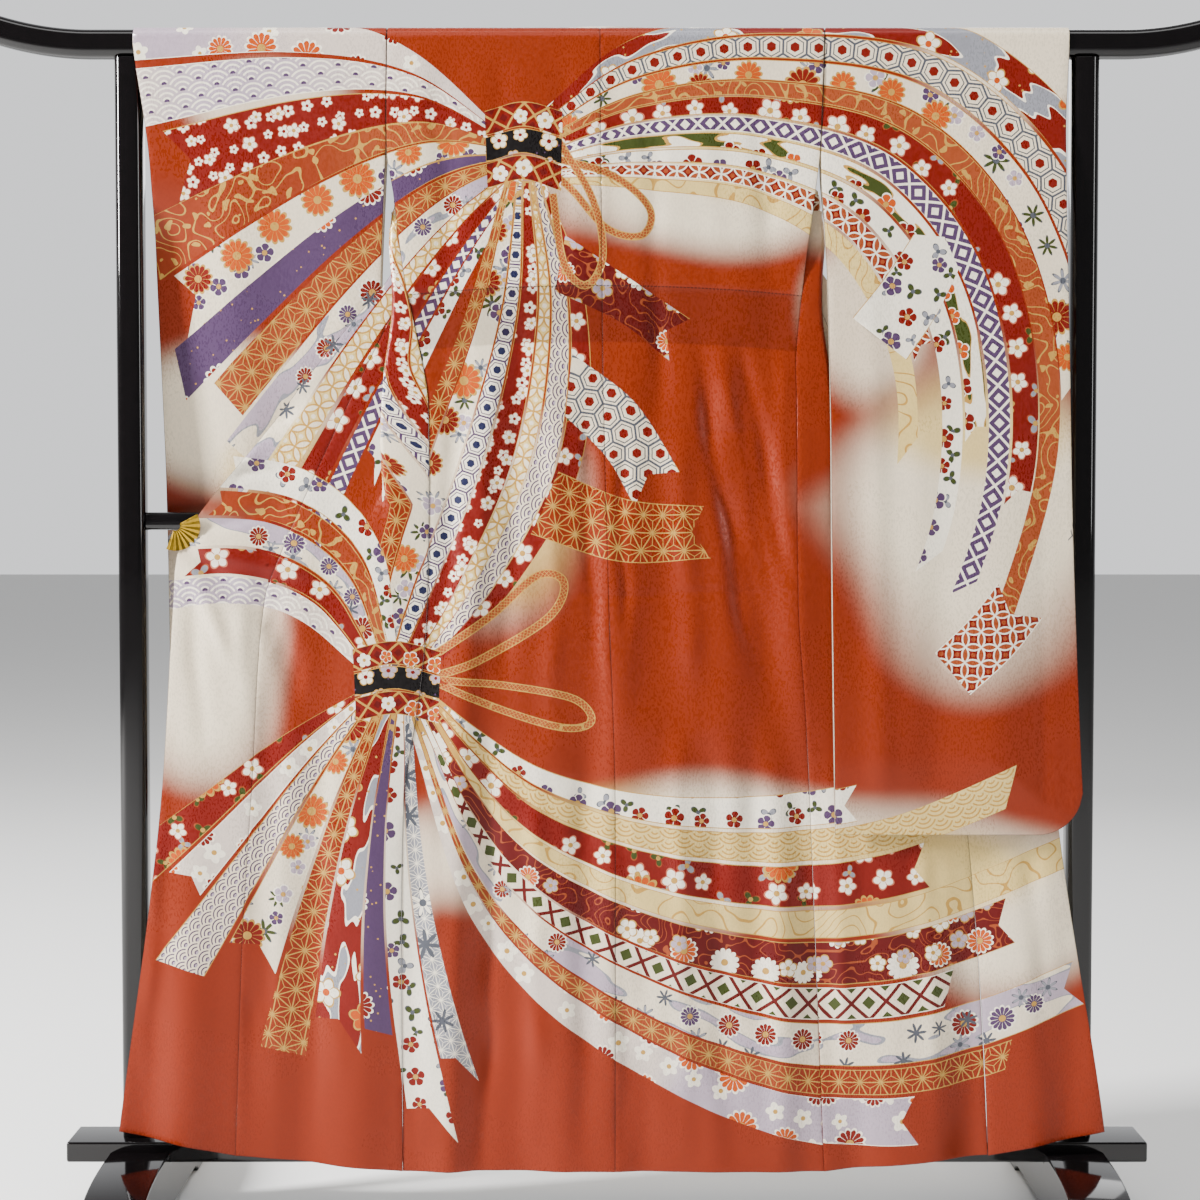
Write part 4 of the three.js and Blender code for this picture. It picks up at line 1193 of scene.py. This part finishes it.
# Dyed bands. A sheaf lies between two smooth lines of points (x, drop). Each of its bands has
# its share of the width (from, to), where it ends along the sheaf, its fill, and its end: how far
# its middle is cut in, and how far one side runs on, in widths. A short one is on one layer only.
sheaves = [
    {"one": [(-150, 150), (-290, 30), (-470, -30), (-740, -60)],
     "other": [(-118, 225), (-215, 430), (-330, 720), (-480, 1180)], "bands": [
        (0.00, 0.09, 1, "flowersLilac", 0, 0), (0.10, 0.17, 1, "wavesLilac", 0, 0),
        (0.18, 0.27, 0.93, "cherry", 0.3, 0),
        (0.27, 0.34, 1, "vine", 0, 0), (0.345, 0.42, 0.97, "flowers", 0.3, 0),
        (0.42, 0.48, 1, "dustPurple", 0, 0),
        (0.49, 0.56, 0.9, "hemp", 0, 0.5), (0.565, 0.65, 0.94, "mistIvory", 0.3, 0),
        (0.655, 0.71, 0.85, "rings", 0, 0.4),
        (0.72, 0.79, 0.92, "flowersRed", 0.3, 0), (0.80, 0.85, 0.8, "lozenge", 0, 0.4),
        (0.86, 0.93, 0.66, "flowersSmall", 0.3, 0)]},
    {"one": [(-85, 225), (60, 235), (220, 262), (345, 350), (415, 520), (395, 740), (300, 930)],
     "other": [(-100, 125), (40, 15), (250, -30), (520, 0), (720, 190), (800, 520), (700, 960)], "bands": [
        (0.86, 0.99, 0.72, "mistRed", 0.25, 0), (0.74, 0.85, 0.9, "tortoise", 0, 0.4),
        (0.63, 0.73, 0.8, "flowers", 0.3, 0),
        (0.55, 0.625, 0.97, "vine", 0, 0.4), (0.45, 0.545, 0.86, "flowersRed", 0.3, 0),
        (0.36, 0.44, 0.92, "lozenge", 0, 0.3),
        (0.27, 0.35, 0.78, "mistOlive", 0.3, 0), (0.18, 0.26, 0.88, "flowersSmall", 0, 0.5),
        (0.09, 0.17, 0.66, "ringsRed", 0.3, 0),
        (0.0, 0.08, 0.74, "vineYellow", 0, 0.4)]},
    {"one": [(-88, 222), (-30, 400), (-35, 620), (-130, 800), (-262, 935)],
     "other": [(-150, 222), (-215, 420), (-300, 620), (-350, 800), (-345, 935)], "bands": [
        (0.0, 0.13, 1, "flowersRed", 0, 0), (0.14, 0.27, 1, "waves", 0, 0), (0.28, 0.37, 1, "rings", 0, 0),
        (0.38, 0.53, 1, "cherry", 0, 0), (0.54, 0.66, 1, "tortoisePurple", 0, 0),
        (0.67, 0.83, 1, "flowers", 0, 0),
        (0.84, 0.95, 1, "hemp", 0, 0)]},
    {"short": True, "one": [(-60, 300), (30, 360), (120, 420)],
     "other": [(-75, 380), (20, 425), (90, 480)], "bands": [
        (0.0, 1.0, 1, "flowersDeep", 0.35, 0)]},
    {"short": True, "one": [(-50, 470), (40, 540), (105, 640)],
     "other": [(-60, 560), (0, 620), (40, 690)], "bands": [
        (0.0, 1.0, 1, "tortoise", 0.3, 0)]},
    {"short": True, "one": [(-70, 640), (30, 680), (140, 690)],
     "other": [(-110, 730), (20, 770), (150, 765)], "bands": [
        (0.0, 1.0, 1, "hemp", 0.3, 0)]},
    {"one": [(-262, 955), (-90, 1070), (130, 1110), (390, 1080), (660, 950)],
     "other": [(-300, 965), (-170, 1330), (110, 1545), (420, 1625), (820, 1560)], "bands": [
        (0.0, 0.10, 0.72, "flowersSmall", 0.35, 0), (0.11, 0.2, 0.9, "wavesGold", 0, 0.5),
        (0.21, 0.33, 0.8, "flowersRed", 0.3, 0),
        (0.34, 0.42, 1, "vineYellow", 0, 0), (0.43, 0.55, 0.88, "flowersDeep", 0.25, 0),
        (0.56, 0.65, 0.8, "lozengeRed", 0, 0.4),
        (0.66, 0.78, 0.93, "mistIvory", 0.3, 0), (0.79, 0.86, 0.85, "hemp", 0, 0.4),
        (0.87, 1.0, 0.76, "flowersLilac", 0.3, 0)]},
    {"one": [(-345, 950), (-480, 1030), (-620, 1140), (-800, 1290)],
     "other": [(-285, 960), (-265, 1200), (-215, 1430), (-120, 1720)], "bands": [
        (0.0, 0.10, 0.9, "flowersRed", 0.3, 0), (0.11, 0.20, 0.8, "flowersLilac", 0.3, 0),
        (0.21, 0.3, 0.95, "waves", 0, 0.4),
        (0.31, 0.43, 0.85, "flowers", 0.3, 0), (0.44, 0.53, 0.97, "hemp", 0, 0.4),
        (0.54, 0.66, 0.88, "mistRed", 0.3, 0),
        (0.67, 0.75, 0.8, "dustPurple", 0, 0.4), (0.76, 0.88, 0.93, "flowersSmall", 0.3, 0),
        (0.89, 1.0, 0.78, "plain", 0.3, 0)]},
    {"one": [(-350, 930), (-450, 850), (-560, 830), (-690, 850)],
     "other": [(-300, 900), (-330, 740), (-430, 640), (-600, 610)], "bands": [
        (0.0, 0.2, 0.94, "wavesLilac", 0.3, 0), (0.22, 0.4, 0.86, "flowersRed", 0.3, 0),
        (0.42, 0.6, 0.97, "mistIvory", 0, 0.4), (0.62, 0.78, 0.88, "vine", 0.3, 0),
        (0.8, 1.0, 0.9, "flowersSmall", 0.3, 0)]},
    {"short": True, "one": [(352, 420), (400, 360), (440, 300)],
     "other": [(430, 480), (470, 420), (505, 350)], "bands": [
        (0.0, 1.0, 1, "flowersSmall", -0.3, 0)]},
    {"short": True, "one": [(470, 900), (520, 850), (560, 800)],
     "other": [(520, 960), (580, 905), (625, 850)], "bands": [
        (0.0, 1.0, 1, "ringsRed", 0.3, 0)]},
    {"path": [(-70, 190), (10, 215), (62, 262), (50, 300), (0, 290), (-50, 235), (-84, 205)], "width": 11,
     "bands": [(0, 1, 1, "cord", 0, 0)]},
    {"path": [(-72, 160), (-20, 250), (-6, 330), (-30, 372), (-62, 340), (-78, 240)], "width": 11,
     "bands": [(0, 1, 1, "cord", 0, 0)]},
    {"path": [(-250, 905), (-170, 850), (-100, 790), (-62, 800), (-84, 850), (-180, 910), (-246, 935)],
     "width": 12, "bands": [(0, 1, 1, "cord", 0, 0)]},
    {"path": [(-246, 945), (-150, 985), (-60, 1010), (-22, 1000), (-48, 968), (-140, 950), (-246, 940)],
     "width": 11, "bands": [(0, 1, 1, "cord", 0, 0)]},
    {"one": [(-176, 122), (-120, 108), (-64, 122)], "other": [(-172, 232), (-120, 220), (-66, 236)],
     "bands": [
        (0.0, 0.32, 1, "knotRed", 0, 0), (0.34, 0.66, 1, "knotBlack", 0, 0),
        (0.68, 1.0, 1, "knotRed", 0, 0)]},
    {"one": [(-366, 896), (-304, 884), (-240, 900)], "other": [(-362, 1000), (-304, 990), (-244, 1004)],
     "bands": [
        (0.0, 0.32, 1, "knotRed", 0, 0), (0.34, 0.66, 1, "knotBlack", 0, 0),
        (0.68, 1.0, 1, "knotRed", 0, 0)]},
]


# A smooth line through points, even steps between each two
def smoothLine(points, steps):
    p = np.asarray(points, float)
    p = np.concatenate([[2 * p[0] - p[1]], p, [2 * p[-1] - p[-2]]])
    t = np.linspace(0, len(p) - 3, steps)
    i = np.minimum(t.astype(int), len(p) - 4)
    return throughFour([p[i + k] for k in range(4)], t - i)


# One band of a sheaf: both sides at their shares between the two border lines
def bandOf(sheaf, band, number):
    share0, share1, end, fill, notch, slant = band
    if "path" in sheaf:
        path = smoothLine(sheaf["path"], 400)
        heading = np.gradient(path, axis=0)
        across = np.stack([-heading[:, 1], heading[:, 0]], 1) / np.linalg.norm(heading, axis=1)[:, None]
        one, other = path - across * sheaf["width"] / 2, path + across * sheaf["width"] / 2
    else:
        one, other = smoothLine(sheaf["one"], 400), smoothLine(sheaf["other"], 400)
    u = np.linspace(0, end, 90) * 399
    i = np.minimum(u.astype(int), 398)
    one, other = (mix(line[i], line[i + 1], (u - i)[:, None]) for line in (one, other))
    sides = [mix(one, other, share) for share in (share0, share1)]
    middle = (sides[0] + sides[1]) / 2
    half = np.linalg.norm(sides[0] - sides[1], axis=1) / 2
    ahead = middle[-1] - middle[-2]
    ahead = ahead / np.linalg.norm(ahead) * half[-1] * 2
    tip = [sides[0][-1] + ahead * slant, middle[-1] - ahead * notch + ahead * slant / 2, sides[1][-1]]
    outline = np.concatenate([sides[0], tip, sides[1][::-1]])
    length = np.concatenate([[0], np.cumsum(np.linalg.norm(np.diff(outline, axis=0), axis=1))])
    even = np.linspace(0, length[-1], max(20, int(length[-1] / 7)))
    corners = length[[89, 90, 91, 92]]
    even[np.abs(even[:, None] - corners).argmin(0)] = corners
    outline = np.stack([np.interp(even, length, outline[:, k]) for k in (0, 1)], 1)
    middle = np.concatenate([middle, [middle[-1] + ahead]])
    half = np.append(half, half[-1])
    return {"outline": outline, "middle": middle, "half": half, "fill": fill, "shift": 137.0 * number,
            "short": "short" in sheaf}


ribbons = []
for sheaf in sheaves:
    for band in sheaf["bands"]:
        ribbons.append(bandOf(sheaf, band, len(ribbons)))
print(len(ribbons), "bands drawn in", len(fillSilks), "silks")

# Soft-edged pale and yellow patches of the dyed ground: place (x, drop), reach both ways
paleSpots = [
    (150, 215, 240, 105, 1), (640, 40, 190, 100, 1), (-560, 560, 170, 110, 1), (550, 700, 240, 215, 1),
    (-590, 900, 130, 170, 1), (130, 1190, 400, 105, 1), (600, 1290, 200, 130, 1),
    (-140, 700, 120, 150, 0.7), (-360, 1230, 120, 120, 0.5), (-480, 120, 120, 60, 0.8),
    (380, 420, 90, 120, 0.8),
]
warmSpots = [
    (240, 190, 140, 60, 1), (-60, 1120, 150, 80, 1), (470, 1230, 160, 80, 1),
    (520, 560, 140, 90, 0.9), (-470, 640, 110, 80, 0.9), (-130, 760, 90, 90, 1),
]


# Strength of the patches at each point: 1 less the product of what each patch leaves
def bokashi(p):
    out = []
    for spots in (paleSpots, warmSpots):
        left = np.ones(len(p))
        for x, drop, reachX, reachDrop, strength in spots:
            wander = 0.1 * np.sin(p[:, 0] / 61 + drop) + 0.08 * np.sin(p[:, 1] / 47 + x)
            away = np.hypot((p[:, 0] - x) / reachX, (p[:, 1] - drop) / reachDrop) + wander
            left *= 1 - strength * (1 - ease(0.55, 1.25, away))
        out.append(1 - left)
    return out


groundSilk, s, gloss = newMaterial("groundSilk")
pale, warm = (s.add("ShaderNodeAttribute", attribute_name=name).outputs["Fac"] for name in ("pale", "warm"))
point = s.add("ShaderNodeTexCoord").outputs["Object"]
faded = s.mixed(warm, tone(dyes["ivory"]), tone(dyes["yellow"]))
finishSilk(s, gloss, s.mixed(pale, tone(dyes["ground"]), faded), point)
liningSilk, s, gloss = newMaterial("liningSilk")
point = s.add("ShaderNodeTexCoord").outputs["Object"]
soft = s.noise(point, 9.0, 2.0)
finishSilk(s, gloss, s.mixed(soft, tone("e4d8c0"), tone("f0e8d8")), point, 0.4, 0.5, 0.0)
lacquer, s, gloss = newMaterial("lacquer")
point = s.add("ShaderNodeTexCoord").outputs["Object"]
fine = s.noise(point, 60.0, 3.0)
s.feed(gloss.inputs["Base Color"], s.mixed(fine, tone("050404"), tone("0b0809")))
s.feed(gloss.inputs["Roughness"], s.scaled(fine, 0.06, 0.05))
gloss.inputs["Specular IOR Level"].default_value = 0.4
brass, s, gloss = newMaterial("brass")
point = s.add("ShaderNodeTexCoord").outputs["Object"]
fine = s.noise(point, 220.0, 3.0)
s.feed(gloss.inputs["Base Color"], s.mixed(fine, tone("7d6113"), tone("b08e30")))
s.feed(gloss.inputs["Roughness"], s.scaled(fine, 0.2, 0.24))
gloss.inputs["Metallic"].default_value = 1


# Stand
stand = {
    "rail": 40, "railTop": 1723.5, "railCorner": 12, "straight": 745, "half": 935, "rise": 40,
    "uprightX": 691, "upright": 40, "middleTop": 1027.5, "middle": 26, "sillTop": 111,
    "sillThick": 29.5, "sillDepth": 92, "sillHalf": 787, "footX": 680, "footWidth": 87,
    "footHalf": 270, "footHeight": 96, "toe": 18, "arch": 3.5, "reliefHalf": 200, "relief": 12,
    "joint": 0.3,
}


quarter = np.linspace(0, math.pi / 2, 5)  # the turns of a rounded edge


# A rectangle with round corners, counted anticlockwise
def roundedSection(width, height, radius, steps=8):
    turn = np.linspace(0, math.pi / 2, steps)
    arcs = []
    for k, (sx, sy) in enumerate([(1, 1), (-1, 1), (-1, -1), (1, -1)]):
        angle = turn + k * math.pi / 2
        arcs.append(np.stack([sx * (width / 2 - radius) + radius * np.cos(angle),
                              sy * (height / 2 - radius) + radius * np.sin(angle)], 1))
    return np.concatenate(arcs)


# A section carried along a path: each point of the section goes across by its first number and
# up by its second. Near both ends it draws in on a quarter circle, and a cap closes it.
def carried(path, section, across, round=2.0):
    path = np.asarray(path, float)
    tangent = np.gradient(path, axis=0)
    tangent /= np.linalg.norm(tangent, axis=1)[:, None]
    across = np.tile(np.asarray(across, float), (len(path), 1))
    up = np.cross(across, tangent)
    half = np.abs(section).max(0)
    last = len(path) - 1
    start = [(0, round * (1 - math.cos(turn)), round * (1 - math.sin(turn))) for turn in quarter]
    end = [(last, -shift, draw) for _, shift, draw in reversed(start)]
    rings = []
    for i, shift, draw in start + [(i, 0, 0) for i in range(1, last)] + end:
        sized = section * (1 - draw / half)
        rings.append(path[i] + tangent[i] * shift + sized[:, :1] * across[i] + sized[:, 1:] * up[i])
    count = len(section)
    points = np.concatenate(rings + [[rings[0].mean(0)], [rings[-1].mean(0)]])
    triangles = gridTriangles(len(rings), count, loopColumns=True)
    first = len(points) - 2
    k = np.arange(count)
    k2 = (k + 1) % count
    ring = first - count
    caps = [np.stack([np.full(count, first), k2, k], 1),
            np.stack([np.full(count, first + 1), ring + k, ring + k2], 1)]
    return outwards(points, np.concatenate([triangles, *caps]))


# Volume inside the triangles, less than 0 when they point inwards
def volumeOf(points, triangles):
    p, q, r = (points[triangles[:, k]] for k in range(3))
    return (p * np.cross(q, r)).sum() / 6


# Turns a closed shape's triangles to point outwards
def outwards(points, triangles):
    return points, triangles if volumeOf(points, triangles) > 0 else triangles[:, ::-1]


# A foot from its side: a rounded arch over two toes, notched for the sill
def footOutline():
    half, notch = stand["footHalf"], stand["sillDepth"] / 2 + stand["joint"]
    y = half - (half - notch) * (np.linspace(0, 1, 40) ** 2)
    top = stand["toe"] + (stand["footHeight"] - stand["toe"]) * (
        (1 - (y / half) ** stand["arch"]) ** (1 / stand["arch"]))
    floor = stand["sillTop"] - stand["sillThick"] - stand["joint"]
    t = np.linspace(0, 1, 8)
    reach, rise = stand["reliefHalf"], stand["relief"]
    curveY = (1 - t) ** 2 * reach + 2 * t * (1 - t) * (reach - 8) + t**2 * (reach - 30)
    curveZ = (2 * t * (1 - t) + t**2) * rise
    right = np.concatenate([
        np.stack([y, top], 1)[::-1], [(half, 0)], np.stack([curveY, curveZ], 1)])
    left = right[::-1] * (-1, 1)
    return np.concatenate([[(notch, floor)], right, left, [(-notch, floor)]])


# A flat outline carried across by a width, its side edges drawn in on a small quarter circle
def slabAcross(outline, width, bevel):
    before, after = np.roll(outline, 1, 0), np.roll(outline, -1, 0)
    heading = after - before
    heading /= np.linalg.norm(heading, axis=1)[:, None]
    inwards = np.stack([-heading[:, 1], heading[:, 0]], 1)
    area = (outline[:, 0] * after[:, 1] - outline[:, 1] * after[:, 0]).sum()
    inwards *= np.sign(area)
    shift, draw = bevel * (1 - np.cos(quarter)), bevel * (1 - np.sin(quarter))
    xs = np.concatenate([shift - width / 2, width / 2 - shift[::-1]])
    draws = np.concatenate([draw, draw[::-1]])
    points = np.concatenate([np.column_stack([np.full(len(outline), x), outline + inwards * d])
                             for x, d in zip(xs, draws)])
    count = len(outline)
    triangles = gridTriangles(len(xs), count, loopColumns=True)
    loop = np.stack([np.arange(count), (np.arange(count) + 1) % count], 1)
    flat = outline + inwards * bevel
    verts, _, cap, *_ = delaunay_2d_cdt(flat.tolist(), loop.tolist(), [], 0, 1e-6, False)
    cap = np.array(cap)
    cap = cap[insideOf(np.array(verts)[cap].mean(1), flat)]
    return outwards(points, np.concatenate([triangles, cap[:, ::-1], cap + (len(xs) - 1) * count]))


# A part of the stand: its mesh in lacquer, in the place of its solid
def standPiece(name, node, shape):
    piece = meshPiece(name, *shape, [lacquer], smooth=35)
    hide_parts(node)
    return piece


# The top rail: straight, then rising to its ends with the square of the distance
def topRailShape():
    x = np.concatenate([np.linspace(-stand["half"], -stand["straight"], 24)[:-1],
                        np.linspace(-stand["straight"], stand["straight"], 12),
                        np.linspace(stand["straight"], stand["half"], 24)[1:]])
    past = np.maximum(0, np.abs(x) - stand["straight"]) / (stand["half"] - stand["straight"])
    z = stand["railTop"] - stand["rail"] / 2 + stand["rise"] * past**2
    return carried(np.stack([x, 0 * x, z], 1),
        roundedSection(stand["rail"], stand["rail"], stand["railCorner"]), (0, 1, 0))


standPiece("topRail", "top_rail", topRailShape())
reach = stand["uprightX"] - stand["upright"] / 2 - stand["joint"]
standPiece("middleRail", "middle_rail", carried(
    [(x, 0, stand["middleTop"] - stand["middle"] / 2) for x in (-reach, 0, reach)],
    roundedSection(stand["middle"], stand["middle"], 8), (0, 1, 0), round=0.5))
standPiece("sill", "sill", carried(
    [(x, 0, stand["sillTop"] - stand["sillThick"] / 2) for x in (-stand["sillHalf"], 0, stand["sillHalf"])],
    roundedSection(stand["sillDepth"], stand["sillThick"], 3), (0, 1, 0), round=3))
for side, name in ((-1, "Left"), (1, "Right")):
    low = stand["sillTop"] + stand["joint"]
    high = stand["railTop"] - stand["rail"] - stand["joint"]
    standPiece("upright" + name, "upright_" + name.lower(), carried(
        [(side * stand["uprightX"], 0, z) for z in (low, (low + high) / 2, high)],
        roundedSection(stand["upright"], stand["upright"], 12), (0, 1, 0), round=0.5))
    points, triangles = slabAcross(footOutline(), stand["footWidth"], 3)
    standPiece("foot" + name, "foot_" + name.lower(), (points + (side * stand["footX"], 0, 0), triangles))
print("stand made")

# Garment
for side, name in ((-1, "Left"), (1, "Right")):
    node = name.lower()
    hem, bottom = garment["hemSide"], sleeveBag["drop"]
    near, far = turnLine, mirrored(garment["overlapTop"])
    down = rowsBetween(290, hem)
    columns = np.array([-8, -5.5, -3.5, -1.8, 0, 1.8, 3.5, 5.5, 8])
    turns = []
    for station in (3, 7):
        places, along = frontStations(side, down)
        line = readRows(backEdges, node, down) - along[:, station]
        pleated = readRows(frontRows, "pleat", down) > 0.03
        turns.append(np.stack([line[pleated, None] + columns,
            (mirrored(down[pleated, None])) + 0 * columns], 2).reshape(-1, 2))
    clothPiece(
        "body" + name, "body_" + node, side, bodyOutline(side), bodySurface,
        [backZone(side, near, hem + 1), overZone(side, far, near), frontZone(side, mirrored(hem) - 1, far)],
        np.concatenate(turns))
    clothPiece(
        "overlap" + name, "okumi_" + node, side, okumiOutline(side), okumiSurface,
        [backZone(side, 0, hem + 1)])
    clothPiece(
        "sleeve" + name, "sleeve_" + node, side, sleeveOutline(side), sleeveSurface,
        [backZone(side, near, bottom + 1), overZone(side, mirrored(bottom) - 1, near)])
print("cloth made")


# The collar: a smooth flat line of distance and run, laid over the rail, and its 58 mm width
# carried inwards from it
collarCut = {"width": 58, "start": 14.5, "end": 700, "lift": 2.9, "steps": 150, "columns": 16}


# The collar's middle line and rows across it: flat first, then laid over rail and fronts
def collarShape():
    near = [(0, bendRun + 5), (40, bendRun + 10), (72, bendRun + garment["flat"] + 2), (87, railRun + 6)]
    drops = mix(collarCut["start"], collarCut["end"], np.array([0.12, 0.3, 0.5, 0.7, 0.85, 1]))
    hanging = np.stack([readRows(frontRows, "edge", drops) - 8, drops - collarCut["start"] + railRun], 1)
    half = np.concatenate([near, hanging])
    line = smoothLine(np.concatenate([half[:0:-1] * (-1, 1), half]), 2400)
    length = np.concatenate([[0], np.cumsum(np.linalg.norm(np.diff(line, axis=0), axis=1))])
    even = np.linspace(-1, 1, collarCut["steps"] + 1)
    places = (0.5 + 0.5 * np.sign(even) * np.abs(even) ** 1.7) * length[-1]
    spots = np.stack([np.interp(places, length, line[:, k]) for k in (0, 1)], 1)
    ahead = np.stack([np.interp(places + 1, length, line[:, k]) for k in (0, 1)], 1)
    behind = np.stack([np.interp(places - 1, length, line[:, k]) for k in (0, 1)], 1)
    heading = (ahead - behind) / np.linalg.norm(ahead - behind, axis=1)[:, None]
    across = np.stack([-heading[:, 1], heading[:, 0]], 1)
    widths = np.linspace(0, collarCut["width"], collarCut["columns"] + 1)
    flat = (spots[:, None] + across[:, None] * widths[None, :, None]).reshape(-1, 2)
    y, z = overRail(flat[:, 1], collarCut["lift"])
    drop = collarCut["start"] + flat[:, 1] - railRun
    row = np.maximum(drop, 0)
    layer = 11 * readRows(frontRows, "pleat", row) + 2 * garment["wall"] + 0.4
    hanging = mix(y, clothFace(flat[:, 0], drop) + layer, readRows(frontRows, "forward", row))
    y = np.where(drop > collarCut["start"], hanging, y)
    points = np.stack([flat[:, 0], y, z], 1)
    triangles = gridTriangles(collarCut["steps"] + 1, collarCut["columns"] + 1)
    return points, triangles, flat


points, triangles, flat = collarShape()
top = np.abs(points[:, 0]) < 60
if pointNormals(points, triangles)[top & (points[:, 2] > 1726)][:, 2].mean() < 0:
    triangles = triangles[:, ::-1]
wall, walls, rim = wallOf(points, triangles, garment["wall"])
collar = meshPiece("collarBand", wall, walls, [liningSilk], smooth=50)
# Distance across to the nearer long edge, for the painted shade along both edges
across = np.linspace(0, collarCut["width"], collarCut["columns"] + 1) / 1000
across = np.tile(np.minimum(across, across[-1] - across), collarCut["steps"] + 1)
border = np.tile(np.stack([noBorder + 0 * across, across], 1), (2, 1))[walls]
border[-rim:] = noBorder
addUv(collar, "border", border)
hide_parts("collar")
print("collar made")

# Floor
floorCode = "e4e3e1"
floorMaterial, sketch, gloss = newMaterial("paleFloor", tone(floorCode))
gloss.inputs["Roughness"].default_value = 0.7
floor = bpy.data.meshes.new("floor")
floor.from_pydata([(-30, -30, 0), (30, -30, 0), (30, 30, 0), (-30, 30, 0)], [], [(0, 1, 2, 3)])
floor.materials.append(floorMaterial)
floorPiece = bpy.data.objects.new("floor", floor)
bpy.context.collection.objects.link(floorPiece)

for node in ("clip_fan_left", "clip_fan_right"):
    bpy.data.objects[node].data.materials.clear()
    bpy.data.objects[node].data.materials.append(brass)
